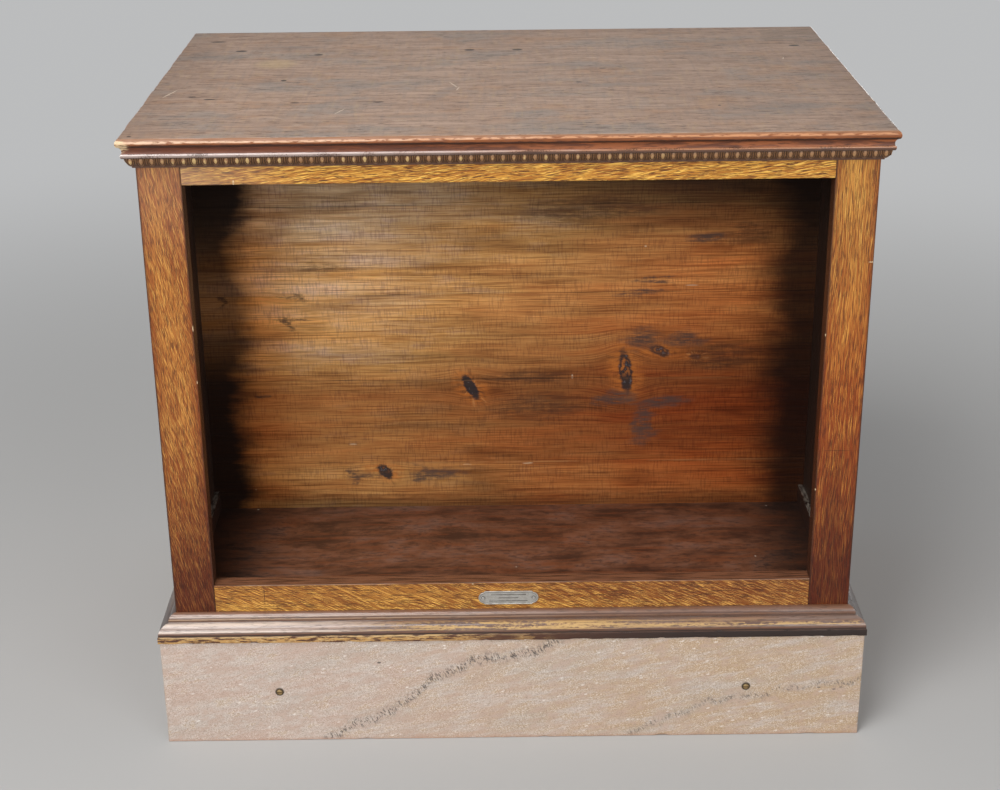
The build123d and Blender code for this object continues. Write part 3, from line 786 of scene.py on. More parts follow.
def addPiece(bm, name, finish, node, sharp=0.5):
    bmesh.ops.remove_doubles(bm, verts=bm.verts, dist=0.002 * mm)
    bmesh.ops.dissolve_degenerate(bm, edges=bm.edges, dist=0.001 * mm)
    loose = [e for e in bm.edges if e.is_boundary]
    if loose:
        bmesh.ops.holes_fill(bm, edges=loose, sides=0)
    bmesh.ops.recalc_face_normals(bm, faces=bm.faces)
    mesh = bpy.data.meshes.new(name)
    bm.to_mesh(mesh)
    bm.free()
    mesh.polygons.foreach_set("use_smooth", [True] * len(mesh.polygons))
    mesh.set_sharp_from_angle(angle=sharp)
    mesh.materials.append(finish)
    piece = addObject(name, mesh)
    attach(piece, "root")
    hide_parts(node)


def chipsAlong(seed, half, count, widths, depths):
    # knocks along an edge: place, half width and depth
    draw = random.Random(seed)
    return [(draw.uniform(-half, half), draw.uniform(*widths), draw.uniform(*depths)) for i in range(count)]


def chipDepth(chips, s):
    deepest = 0.0
    for place, width, depth in chips:
        away = abs(s - place) / width
        if away < 1.0:
            deepest = max(deepest, depth * (1.0 - away * away))
    return deepest


def endFade(s, half, reach):
    # 1 along a stick, falling to 0 at its mitres
    return max(0.0, min(1.0, (half - abs(s)) / reach))


def evenColumns(half, step):
    count = math.ceil(2 * half / step)
    return [-half + 2 * half * i / count for i in range(count + 1)]


# top board: worn nosing over a cove, the face rubbed grey

topShape = {
    "overhang": 18.3, "nosingHeight": 9.7, "nosingRound": 4.2, "lip": 1.2, "coveReach": 4.6,
    "quirk": 1.1, "flat": 6.0, "step": 4.0, "wave": 0.5, "fade": 10.0,
    "knocks": 26, "knockWidths": (3.0, 14.0), "knockDepths": (0.3, 1.3), "skim": 0.25,
    "coveSteps": 6, "noseSteps": 9,
}
topLook = {
    "pale": (0.435, 0.295, 0.215), "mid": (0.27, 0.168, 0.115), "deep": (0.12, 0.068, 0.043),
    "grey": (0.265, 0.225, 0.195), "warm": (0.37, 0.205, 0.115), "hole": (0.03, 0.018, 0.012),
    "yellow": (0.47, 0.33, 0.16), "scratch": (0.62, 0.50, 0.38), "slate": (0.17, 0.145, 0.13),
    "nosing": (0.235, 0.075, 0.024), "rub": (0.66, 0.43, 0.29), "rubWarm": (0.60, 0.29, 0.14),
    "roll": (0.28, 0.135, 0.070), "dirtAndShade": (0.035, 0.012, 0.007), "cove": (0.31, 0.10, 0.036),
    "coveDeep": (0.13, 0.045, 0.024), "coveShade": (0.12, 0.035, 0.018), "ring": ((-312, 88), (34, 34)),
    "patch": (0.20, 0.14, 0.10), "patchLeft": 372.0, "patchFront": 208.0, "breakAcross": -456.0,
    "breakRise": 9.0, "breakReach": (15.0, 9.0),
}
topHoles = [
    (-411, 241, 11, 3.4), (-370, 175, 8, 4.6), (-259, 145, 6, 4.4), (-49, 167, 7, 5.0), (18, 165, 7, 4.6),
    (408, 173, 7, 5.0), (-291, -13, 3.6, 4.2), (-264, -138, 6, 2.6), (-160, -138, 7, 2.4),
    (-374, -115, 7, 2.8), (261, -175, 2.0, 2.0), (-442, -296, 2.6, 2.0), (-398, -100, 5, 2.2),
    (130, 40, 5, 2.2), (95, -40, 4, 2.2),
]
topScars = [
    (-190, -267, 27, 1.6), (-168, -262, 9, 1.2), (-386, -106, 26, 2.4), (-340, 120, 30, 2.6),
    (-300, 196, 40, 2.4), (-120, 60, 22, 1.6), (-100, -238, 30, 1.4), (210, 20, 24, 1.8), (60, -120, 26, 1.4),
]
topSmears = [
    (-84, -100, 14, 60, -0.4), (-310, 190, 70, 20), (-330, -20, 60, 14), (-120, -210, 70, 14),
    (330, -190, 70, 26), (150, -60, 80, 12), (60, 60, 60, 14), (-420, 150, 30, 40), (250, 130, 60, 18),
]
topRubs = [
    (-429, -82, 1.5, 24, -0.3), (-205, -185, 1.2, 16, -0.4), (-68, -48, 1.3, 18, 0.35),
    (-62, -70, 1.0, 12, -0.2), (291, -63, 9, 0.9), (380, 90, 0.9, 8, -0.2), (-130, -232, 14, 0.9),
    (120, 110, 10, 0.8), (-250, -250, 8, 1.0),
]


def topFinish(name):
    look = topLook
    sheet = Sheet(name, look)
    x, y, z = sheet.x, sheet.y, sheet.z
    sheet.follow("xyz", name)
    sheet.bend(0.003, 0.010, 0.02, 30.0)
    lines = sheet.grain(0.008, 0.16, 0.1, 5.0, 0.7)
    pores = sheet.grain(0.060, 0.34, 0.4, 3.0, 0.65)
    cloud = sheet.noise(x * 0.007, y * 0.012, 3.0, 5.0, 0.65)
    stains = sheet.noise(x * 0.010 + 9.0, y * 0.018, 8.0, 5.0, 0.65)
    wiped = sheet.noise(x * 0.16, y * 0.016, 2.0, 4.0, 0.6)
    poreMask = pores.ease(0.53, 0.63)
    sheet.colour = sheet.ramp(lines, [(0.36, look["mid"]), (0.62, look["pale"])])
    sheet.lay(stains.ease(0.50, 0.64) * 0.6, "warm")
    sheet.lay(cloud.ease(0.48, 0.62) * 0.6, "grey")
    sheet.lay(cloud.stir(pores, 0.4).ease(0.60, 0.72) * 0.6, "slate")
    sheet.lay(wiped.ease(0.52, 0.66) * 0.24, "slate")
    sheet.lay(wiped.ease(0.46, 0.34) * 0.20, "yellow")
    sheet.lay(poreMask * 0.6, "deep")
    smears = sheet.marks(x, y.stir(stains, 40.0), topSmears, 0.0) * lines.ease(0.36, 0.60)
    sheet.lay(smears * 0.55, "slate")
    sheet.lay(sheet.near(x, y, *look["ring"]).ease(1.2, 0.0) * 0.45, "yellow")
    edge = abs(x).ease(350.0, 470.0) * 0.30 | x.ease(60.0, 420.0) * 0.14 | y.ease(190.0, 310.0) * 0.15
    sheet.lay(edge, "deep")
    # a darker patch in the far right corner, with a dark border
    left, front = look["patchLeft"], look["patchFront"]
    patch = x.stir(stains, 60.0).ease(left - 3.0, left + 3.0)
    patch = patch * y.stir(stains, 18.0).ease(front - 1.0, front + 1.0)
    sheet.lay(patch * lines.ease(0.70, 0.35) * 0.8, "patch")
    border = abs(y - front).ease(1.8, 0.5) * x.ease(left - 1.0, left) * stains.ease(0.40, 0.52)
    scars = sheet.marks(x, y.stir(stains, 22.0), topScars, 0.1) * pores.ease(0.36, 0.52)
    sheet.lay(border * 0.8 | scars * 0.7, "deep")
    sheet.lay(sheet.marks(x, y, topRubs, 0.3) * pores.ease(0.30, 0.42) * 0.9, "scratch")
    holes = sheet.marks(x, y, [(a, b, c * 1.2, d * 1.3) for a, b, c, d in topHoles], 0.4)
    sheet.lay(holes * 0.92, "hole")
    face = sheet.colour
    # moulded edge: the arris rubbed pale with a painted highlight, the hollow under it darkened with dirt and
    # painted shade, then the cove
    nosingFoot = boardTop - topShape["nosingHeight"]
    wear = sheet.noise(x * 0.022, y * 0.022, z * 0.20, 3.0)
    knocks = sheet.noise(x * 0.10, y * 0.10, z * 0.4, 3.0)
    pale = x.stir(wear, 600.0).ease(100.0, -300.0)
    sheet.colour = sheet.tint(pores.ease(0.48, 0.62) * 0.5, look["nosing"], look["coveDeep"])
    # a line of wear and painted highlight runs along the swell, cream on the left, with the stain of the face
    # above it
    highlightLevel = boardTop - 3.3 - pale * 1.3
    sheet.lay((z - highlightLevel).ease(0.4, 1.8) * 0.9, "roll")
    rubbed = abs((z - highlightLevel).stir(wear, 3.0)).ease(1.8, 0.5) * knocks.ease(0.66, 0.46)
    sheet.lay(rubbed * (0.75 + pale * 0.2), sheet.tint(pale, look["rubWarm"], look["rub"]))
    cove = sheet.tint(wear.ease(0.44, 0.62), look["cove"], look["coveDeep"])
    cove = sheet.tint(pores.ease(0.50, 0.64) * 0.5, cove, look["dirtAndShade"])
    cove = sheet.tint(pale * 0.75, cove, look["coveShade"])
    sheet.lay(z.ease(nosingFoot + 1.2, nosingFoot - 0.4), cove)
    thick = x.stir(wear, 900.0).ease(250.0, -350.0) * 0.9 + (knocks - 0.5) * 2.8 + 1.4
    quirk = (z - nosingFoot - thick).ease(0.8, -0.6) * z.ease(nosingFoot - 2.0, nosingFoot - 0.6)
    sheet.lay(quirk * 0.9, "dirtAndShade")
    # the front left corner is broken to bare wood
    middle, reach = (look["breakAcross"], caseTop + look["breakRise"]), look["breakReach"]
    broken = sheet.near(x.stir(knocks, 16.0), z.stir(knocks, 6.0), middle, reach).ease(1.1, 0.5)
    sheet.lay(broken * y.ease(-290.0, -303.0) * pores.ease(0.62, 0.45) * 0.9, bareWood)
    upper = z.stir(wear, 0.5).ease(boardTop - 0.9, boardTop - 0.25)
    sheet.lay(upper, face)
    rough = 0.30 + upper * 0.14 + cloud * 0.14 + poreMask * 0.08
    height = poreMask * -0.5 - holes * 2.5 - scars - border
    return sheet.surface(rough, height, 0.25, {"Specular IOR Level": 0.35})


def addTopBoard():
    shape = topShape
    height = boardTop - caseTop
    nosingFoot = height - shape["nosingHeight"]
    edge = shape["overhang"]
    lip = edge - shape["lip"]
    foot = lip - shape["coveReach"]
    bow = math.sqrt(0.5)
    coveMiddle = (lip - shape["coveReach"] * bow, nosingFoot * bow)
    steps = shape["coveSteps"]
    cove = arcPoints((foot, 0.0), coveMiddle, (lip, nosingFoot - 0.5), steps)
    cove = [(reach - shape["quirk"] * i / steps, rise) for i, (reach, rise) in enumerate(cove)]
    swell, shoulder = (edge, height - shape["nosingHeight"] / 2), edge - shape["nosingRound"]
    nosing = arcPoints((lip, nosingFoot), swell, (shoulder, height), shape["noseSteps"])
    inner = shoulder - 1.0
    outline = [(foot - shape["flat"], 0.0)] + cove + nosing
    outline += [(inner, height), (inner - shape["flat"], height)]
    first = 1 + len(cove)
    last = first + len(nosing) - 1
    sizes = shape["knocks"], shape["knockWidths"], shape["knockDepths"]
    bm = newMesh()
    for name, run in runs.items():
        half = run[1] + edge
        knocks = chipsAlong(f"nosing {name}", half, *sizes)

        def push(s, index):
            if not first <= index < last:
                return 0.0, 0.0
            fade = endFade(s, half, shape["fade"])
            wave = noise.noise(Vector((s * 0.02, index * 0.35, 4.0 + run[0].x * 3 + run[0].y)))
            top = (index - first) / (last - first)
            return (wave * shape["wave"] - shape["skim"] - chipDepth(knocks, s) * top) * fade, 0.0

        sweepInto(bm, outline, run, caseTop, evenColumns(half, shape["step"]), push, closed=False)
    addPiece(bm, "top_board_worn", topFinish("worn_oak_top"), "top_board")


addTopBoard()
print("bookcase: top board")


# crown moulding: a fascia over a run of carved eggs and darts

crownShape = {
    "fasciaHeight": 4.3, "fasciaReach": 14.0, "ovoloTop": 12.2, "ovoloFoot": 3.0, "round": 1.7, "pitch": 12.5,
    "eggColumns": 16, "rows": 16, "eggHalf": 0.22, "eggTall": 0.31, "eggRise": 0.7, "groundDrop": 1.5,
    "eggMiddle": 0.62, "shell": (0.62, 1.45, 0.17), "dart": (0.66, 0.05),
}
crownLook = {
    "ground": (0.068, 0.032, 0.017), "raised": (0.32, 0.165, 0.075), "gold": (0.60, 0.42, 0.18),
    "lilac": (0.52, 0.41, 0.37), "chestnut": (0.36, 0.155, 0.07), "deep": (0.06, 0.024, 0.014),
    "foot": (0.10, 0.045, 0.025),
}


def smooth(value, low, high):
    t = max(0.0, min(1.0, (value - low) / (high - low)))
    return t * t * (3.0 - 2.0 * t)


def eggCarving(u, v):
    # u runs from dart to dart, -0.5 to 0.5, and v up the moulding, 0 to 1
    # 0 is the ground and 1 the top of an egg
    half = crownShape["eggHalf"] * (0.70 + 0.42 * v)
    away = math.hypot(u / half, (v - crownShape["eggMiddle"]) / crownShape["eggTall"])
    # the shell round an egg and the dart: how far each stands up, and its half width last
    (shellRise, shellPlace, shellHalf), (dartRise, dartHalf) = crownShape["shell"], crownShape["dart"]
    dome = math.sqrt(max(0.0, 1.0 - away * away))
    shell = shellRise * math.exp(-(((away - shellPlace) / shellHalf) ** 2)) * smooth(v, 0.04, 0.2)
    dart = dartRise * math.exp(-(((abs(u) - 0.5) / dartHalf) ** 2)) * smooth(v, 0.15, 0.6)
    return max(dome, shell, dart)


def crownFinish(name):
    look = crownLook
    sheet = Sheet(name, look)
    x, z = sheet.x, sheet.z
    carve = sheet.carving()
    wear = sheet.grain(0.02, 0.02, 0.1, 3.0)
    each = sheet.noise(x * 0.075, sheet.y * 0.075, 4.0, 2.0)
    fine = sheet.grain(0.6, 0.6, 0.6, 3.0)
    sheet.colour = sheet.ramp(carve.stir(fine, 0.5), [(0.05, look["ground"]), (0.65, look["raised"])])
    gilt = carve.stir(fine, 0.6).stir(each, 2.2).ease(0.76, 1.02)
    kept = x.stir(wear, 300.0).ease(280.0, -80.0) * 0.62 + 0.16
    sheet.lay(gilt * kept, "gold")
    # fascia: a painted highlight on worn varnish, lilac towards the left, its lower edge darkened as painted
    # shade
    fasciaFoot = caseTop - crownShape["fasciaHeight"]
    fascia = sheet.tint(x.stir(wear, 500.0).ease(180.0, -240.0), look["chestnut"], look["lilac"])
    fascia = sheet.tint(wear.stir(fine, 0.6).ease(0.52, 0.66) * 0.75, fascia, look["deep"])
    cool = x.stir(wear, 300.0).ease(0.0, -260.0)
    foot = z.ease(fasciaFoot + 2.9, fasciaFoot + 1.9) * (0.85 - cool * 0.35)
    fascia = sheet.tint(foot, fascia, look["deep"])
    onFascia = z.ease(fasciaFoot - 0.4, fasciaFoot + 0.2)
    sheet.lay(onFascia, fascia)
    # painted shade along the lower part of the carved strip
    sheet.lay(z.ease(caseTop - 13.0, caseTop - 18.0) * 0.75, "foot")
    more = {"Coat Weight": onFascia * 0.8, "Coat Roughness": 0.12}
    return sheet.surface(0.36 + fine * 0.16 - onFascia * 0.20, fine, 0.12, more)


def addCrown(name, run, finish):
    shape = crownShape
    low, high = boxOf(f"{name}_crown_moulding")
    height = high[2] - low[2]
    fasciaFoot = height - shape["fasciaHeight"]
    bulge = (shape["ovoloFoot"] + (shape["ovoloTop"] - shape["ovoloFoot"]) * math.sqrt(0.5), fasciaFoot / 2)
    ovolo = arcPoints((shape["ovoloFoot"], 0.0), bulge, (shape["ovoloTop"], fasciaFoot), shape["rows"])
    fascia = [(shape["fasciaReach"], fasciaFoot), (shape["fasciaReach"], height), (0.0, height), (0.0, 0.0)]
    outline = ovolo + softened(fascia, shape["round"])
    eggsHalf = run[1] + bulge[0]
    count = round(2 * eggsHalf / shape["pitch"])
    step = 2 * eggsHalf / count / shape["eggColumns"]
    spare = math.ceil((shape["fasciaReach"] - bulge[0]) / step)
    places = range(-spare, count * shape["eggColumns"] + spare + 1)
    columns = [-eggsHalf + step * place for place in places]

    def push(s, index):
        if index > shape["rows"]:
            return 0.0, 0.0
        v = index / shape["rows"]
        u = (s + eggsHalf) / (step * shape["eggColumns"]) % 1.0 - 0.5
        carved = eggCarving(u, v) if abs(s) < eggsHalf else 0.0
        border = smooth(v, 0.0, 0.1) * smooth(v, 1.0, 0.93)
        move = (carved * (shape["eggRise"] + shape["groundDrop"]) - shape["groundDrop"]) * border
        return move, carved * border

    bm = newMesh()
    sweepInto(bm, outline, run, low[2], columns, push)
    addPiece(bm, f"{name}_crown_carved", finish, f"{name}_crown_moulding", 0.7)


crownVarnish = crownFinish("crown_varnish")
for name, run in runs.items():
    addCrown(name, run, crownVarnish)
print("bookcase: crown moulding")


# base moulding: bead, quirk, ovolo and a knocked fillet

baseShape = {
    "reach": 22.6, "fillet": 9.2, "step": 1.1, "ovoloRise": 14.6, "ovoloReach": 10.5,
    "quirkHeight": 2.2, "quirkReach": 2.0, "beadHeight": 9.0, "arris": 0.7, "columns": 3.5, "fade": 12.0,
    "chips": 30, "chipWidths": (2.5, 11.0), "chipDepths": (0.3, 1.3), "chipReach": 2.5, "wave": 0.25,
    "ovoloSteps": 9, "beadSteps": 7,
}
baseLook = {
    "dark": (0.085, 0.034, 0.018), "brown": (0.20, 0.085, 0.038), "golden": (0.54, 0.335, 0.125),
    "pale": (0.58, 0.40, 0.19), "black": (0.020, 0.009, 0.006), "purple": (0.15, 0.085, 0.065),
    "bead": (0.25, 0.12, 0.068), "paintedSheen": (0.72, 0.59, 0.50), "paintedSheenWarm": (0.42, 0.29, 0.19),
    "chip": (0.085, 0.028, 0.012), "fillet": (0.52, 0.29, 0.095), "paintedHighlightBands": [(0.94, 0.16), (0.45, 0.13)],
    "worn": {"x": (-175.0, 210.0, 1.0), "y": (-60.0, 120.0, 0.1)},
}


def baseFinish(name, axis):
    # worn golden along the middle of the stick, glossy elsewhere
    look = baseLook
    wornFrom, wornTo, sheenShare = look["worn"][axis]
    sheet = Sheet(name, look)
    along, across = sheet.axis(axis), sheet.axis("y" if axis == "x" else "x")
    sheet.places = [along, across, sheet.z]
    rise = sheet.z - plinthHeight
    streaks = sheet.grain(0.010, 0.25, 0.48, 3.0)
    poreMask = sheet.grain(0.07, 0.8, 0.9, 3.0).ease(0.55, 0.66)
    cloud = sheet.grain(0.012, 0.05, 0.06, 3.0)
    flakes = sheet.grain(0.16, 0.35, 0.45, 3.0, 0.6)
    knocked = sheet.grain(0.045, 0.3, 0.30, 4.0, 0.65)
    shift = (cloud - 0.5) * 260.0
    sheet.colour = sheet.ramp(streaks, [(0.36, look["dark"]), (0.64, look["brown"])])
    sheet.lay(cloud.ease(0.40, 0.58) * 0.6, "purple")
    ovoloFoot = baseShape["fillet"]
    ovoloTop = ovoloFoot + baseShape["ovoloRise"]
    beadFoot = ovoloTop + baseShape["quirkHeight"]
    # bead: painted highlights, one pale band on its swell and one along its foot, with a line of painted
    # shade between them
    onBead = rise.ease(ovoloTop, ovoloTop + 0.6)
    leftward = along.ease(200.0, -300.0) * sheenShare
    beadRise = (rise - beadFoot) / baseShape["beadHeight"]
    sheet.lay(onBead * streaks.ease(0.66, 0.40) * (leftward * 0.4 + 0.3), "bead")
    sheet.lay(onBead * abs(beadRise - 0.38).ease(0.15, 0.04) * 0.85, "dark")
    band = onBead * abs((beadRise - 0.59).stir(streaks, 0.25)).ease(0.16, 0.03)
    sheet.lay(band * (leftward * 0.34 + 0.08), "paintedSheen")
    band = onBead * abs((beadRise - 0.20).stir(streaks, 0.2)).ease(0.14, 0.03)
    sheet.lay(band * (leftward * 0.80 + 0.04), "paintedSheenWarm")
    # ovolo: rubbed to the wood along the middle, and in a thin line that goes on along its head
    worn = (along + shift).ease(wornFrom - 110.0, wornFrom + 110.0)
    worn = worn * (along + shift).ease(wornTo + 180.0, wornTo - 180.0)
    onOvolo = rise.ease(ovoloFoot + 4.5, ovoloFoot + 7.0) * rise.ease(ovoloTop + 0.5, ovoloTop - 2.0)
    rub = worn * onOvolo * streaks.stir(flakes, 0.7).ease(0.40, 0.56)
    crest = rise.ease(ovoloTop - 8.2, ovoloTop - 6.6) * rise.ease(ovoloTop - 3.0, ovoloTop - 4.8)
    crest = crest * (along + shift).ease(wornTo - 120.0, wornTo)
    rub = rub | crest * streaks.stir(flakes, 0.9).ease(0.39, 0.50) * 0.85
    sheet.lay(rub * 0.95, "golden")
    # painted shade on the lower part of the ovolo
    sheet.lay(rise.ease(ovoloFoot + 5.5, ovoloFoot + 1.5) * 0.7, "dark")
    # painted highlights in bands on the swell, with a paler painted sheen between, most of all towards one
    # end
    swell = ((rise - ovoloFoot) / baseShape["ovoloRise"]).stir(streaks, 0.18)
    upper, low = (abs(swell - place).ease(half, 0.03) for place, half in look["paintedHighlightBands"])
    paintedVeil = upper | low * 0.9 | abs(swell - 0.64).ease(0.38, 0.24) * 0.30
    toEnd = (along + shift * 0.5).ease(wornFrom + 70.0, wornFrom - 150.0) * sheenShare
    sheet.lay(paintedVeil * (toEnd * 0.78 + 0.18) * (1.0 - rub) * (1.0 - worn * 0.6), "paintedSheen")
    # fillet: golden where the varnish is knocked off, black where it stayed
    onFillet = rise.ease(ovoloFoot + 0.8, ovoloFoot - 0.6)
    bare = along.stir(cloud, 420.0).ease(50.0, -100.0) * knocked.ease(0.545, 0.495)
    lip = abs(rise - ovoloFoot + 1.0).ease(1.3, 0.4) * (along + shift).ease(120.0, -160.0)
    fillet = sheet.tint(along.ease(260.0, -60.0), look["black"], look["chip"])
    fillet = sheet.tint(bare * 0.95, fillet, look["fillet"])
    fillet = sheet.tint(bare * flakes.ease(0.48, 0.36) * 0.8, fillet, look["pale"])
    fillet = sheet.tint(lip * knocked.ease(0.62, 0.50) * 0.85, fillet, look["pale"])
    sheet.lay(onFillet, fillet)
    sheet.lay(poreMask * 0.5, "black")
    # painted shade in the quirks and along the foot of the ovolo
    quirk = abs(rise - beadFoot).ease(0.7, 0.2) * 0.7 | abs(rise - ovoloTop - 0.5).ease(0.6, 0.2)
    sheet.lay((quirk | abs(rise - ovoloFoot - 1.5).ease(1.5, 0.4)) * 0.85, "black")
    if axis == "y":
        # the returns darker towards the front corners
        sheet.lay(along.ease(-140.0, -280.0) * 0.75, "black")
    rough = 0.30 + cloud * 0.10 + rub * 0.2 + onFillet * 0.2
    height = poreMask * -0.7 + streaks * 0.3 - rub * 0.5
    more = {"Coat Weight": 0.5 - rub * 0.4 - onFillet * 0.4, "Coat Roughness": 0.12}
    return sheet.surface(rough, height, 0.12, more)


def addBase(name, run, finish):
    shape = baseShape
    bow = math.sqrt(0.5)
    ovoloFoot = (shape["reach"] - shape["step"], shape["fillet"])
    ovoloHead = (ovoloFoot[0] - shape["ovoloReach"], ovoloFoot[1] + shape["ovoloRise"])
    ovoloMiddle = (ovoloHead[0] + shape["ovoloReach"] * bow, ovoloFoot[1] + shape["ovoloRise"] * bow)
    beadFoot = (ovoloHead[0] - shape["quirkReach"], ovoloHead[1] + shape["quirkHeight"])
    beadHead = (0.0, beadFoot[1] + shape["beadHeight"])
    beadMiddle = (beadFoot[0] * bow, beadFoot[1] + shape["beadHeight"] * bow)
    corners = [(0.0, 0.0), (shape["reach"], 0.0), (shape["reach"], shape["fillet"])]
    corners += arcPoints(ovoloFoot, ovoloMiddle, ovoloHead, shape["ovoloSteps"])
    corners.append((beadFoot[0], ovoloHead[1]))
    corners += arcPoints(beadFoot, beadMiddle, beadHead, shape["beadSteps"])
    outline = softened(corners, shape["arris"])
    half = run[1] + shape["reach"]
    sizes = shape["chips"], shape["chipWidths"], shape["chipDepths"]
    edges = {edge: chipsAlong(f"base {edge} {name}", half, *sizes) for edge in ("foot", "head")}

    def push(s, index):
        reach, rise = outline[index]
        if reach < 1.0:
            return 0.0, 0.0
        fade = endFade(s, half, shape["fade"])
        move = noise.noise(Vector((s * 0.02, rise * 0.12, reach * 0.12 + run[0].x * 3))) * shape["wave"]
        if reach > shape["reach"] - shape["chipReach"] and rise < shape["fillet"] + 0.5:
            move -= chipDepth(edges["foot" if rise < shape["fillet"] / 2 else "head"], s)
        return move * fade, 0.0

    bm = newMesh()
    sweepInto(bm, outline, run, plinthHeight, evenColumns(half, shape["columns"]), push)
    addPiece(bm, f"{name}_base_worn", finish, f"{name}_base_moulding")


for name, run in runs.items():
    addBase(name, run, baseFinish(f"{name}_base_varnish", "x" if name in faces else "y"))
print("bookcase: base moulding")


# stone slabs: pinkish marble with stylolites, edges chipped by moving

stoneShape = {
    "arris": 0.8, "arrisSlope": 0.8, "step": 4.0, "chip": 1.5,
    "bigChips": 9, "bigWidths": (1.0, 3.0), "bigDepths": (1.0, 2.6),
}
stoneLook = {
    "pale": (0.525, 0.435, 0.375), "pink": (0.50, 0.365, 0.295), "tan": (0.460, 0.315, 0.180),
    "grey": (0.43, 0.375, 0.325), "fleck": (0.84, 0.79, 0.74), "dark": (0.085, 0.068, 0.060),
    "rust": (0.42, 0.22, 0.14), "pepper": (0.24, 0.175, 0.13), "bandSlope": 0.20, "screwRing": 6.8,
    "screwPlaces": {"x": 307.5, "y": 180.0},
}
# stylolites: (along, up) points, then how dark, the width of its band and how far it is broken up
stoneVeins = {
    "front": [
        ([(-251, 3), (-149, 50), (-109, 88), (-56, 118), (36, 134), (62, 150)], 1.0, 7.5, 0.48),
        ([(150, 2), (248, 48), (307, 60), (457, 84)], 0.75, 4.5, 0.50),
    ],
    "rear": [([(-380, 20), (-180, 48), (40, 96), (250, 110), (400, 146)], 0.75, 7.0, 0.50)],
    "left": [([(-260, 40), (-60, 82), (120, 96), (280, 130)], 0.65, 6.0, 0.50)],
    "right": [([(-290, 96), (-90, 112), (60, 132), (200, 148)], 0.65, 6.0, 0.50)],
}
stoneDashes = {
    "front": [(404, 72, 3.2, 1.0), (424, 69, 3.0, 1.0), (433, 72, 2.8, 0.9), (-175, 118, 3, 1.6)],
    "rear": [(-210, 60, 3, 1)],
}


def stoneFinish(face):
    look = stoneLook
    sheet = Sheet(f"{face}_marble", look)
    axis, other = ("x", "y") if face in faces else ("y", "x")
    along, through, z = sheet.axis(axis), sheet.axis(other), sheet.z
    tilt = z - along * look["bandSlope"]
    sheet.places = [along, tilt, through]
    cloud = sheet.grain(0.006, 0.025, 0.02, 3.0)
    bands = sheet.grain(0.020, 0.10, 0.05, 4.0, 0.65)
    grain = sheet.grain(0.50, 0.80, 0.6, 3.0, 0.75)
    salt = sheet.noise(along * 0.75 + 30.0, tilt * 1.1, through * 0.9, 2.0, 0.6)
    blotch = sheet.grain(0.045, 0.085, 0.06, 5.0, 0.68)
    sheet.colour = sheet.ramp(bands, [(0.38, look["pink"]), (0.60, look["pale"])])
    side = along.stir(cloud, 500.0).ease(-340.0, 280.0)
    sheet.lay(side * bands.ease(0.75, 0.35) * 0.9, "tan")
    sheet.lay(cloud.ease(0.48, 0.66) * 0.4, "grey")
    sheet.lay(blotch.ease(0.50, 0.62) * 0.6, "pink")
    sheet.lay(blotch.ease(0.46, 0.36) * 0.45, "tan")
    sheet.lay(salt.ease(0.53, 0.63) * blotch.ease(0.62, 0.40) * 0.55, "fleck")
    sheet.lay(salt.ease(0.46, 0.36) * 0.55, "pepper")
    sheet.lay(grain.ease(0.42, 0.30) * bands.ease(0.60, 0.42) * 0.5, "rust")
    flecks = sheet.specks(along * 0.055, tilt * 0.12, through * 0.08, 0.17, 0.34)
    sheet.lay(flecks * grain.ease(0.36, 0.52) * 0.7, "fleck")
    grit = sheet.specks(along * 0.035, tilt * 0.075, through * 0.08, 0.12, 0.40)
    sheet.lay(grit * grain.ease(0.34, 0.50) * 0.6, "fleck")
    # dirt round the screws, loose dashes, then the short dark hairs that stand across each stylolite
    place, ring = look["screwPlaces"][axis], look["screwRing"]
    screws = [(s, plinthHeight / 2, ring, ring) for s in (-place, place)]
    dark = sheet.marks(along, z, screws, 0.55) * 0.85
    if face in stoneDashes:
        dark = dark | sheet.marks(along, z, stoneDashes[face], 0.4) * 0.85
    hairs = sheet.noise((along + z * 0.5) * 0.50, (z - along * 0.5) * 0.16, through * 0.2, 2.0, 0.6)
    hairs = hairs.ease(0.52, 0.555)
    wander = (sheet.noise(along * 0.045, 4.0, through * 0.05, 3.0) - 0.5) * 26.0
    span = halfWidth + 40.0
    for points, depth, width, broken in stoneVeins[face]:
        start, end = points[0][0], points[-1][0]
        stops = [((s + span) / (2 * span), (up / plinthHeight,) * 3) for s, up in points]
        level = sheet.ramp((along + span) / (2 * span), stops) * plinthHeight
        gap = (z - level - wander) / width
        band = (gap * gap).fade() * along.ease(start - 8.0, start + 8.0) * along.ease(end + 10.0, end - 6.0)
        sheet.lay(band * 0.22, "grey")
        dark = dark | band * hairs * grain.ease(broken - 0.14, broken + 0.04) * depth
    sheet.lay(dark, "dark")
    sheet.lay(z.stir(grain, 14.0).ease(6.0, 0.0) * 0.5, "rust")
    height = grain * 0.4 + salt * 0.4 - dark + flecks * 0.3
    return sheet.surface(0.52 + grain * 0.2, height, 0.22)


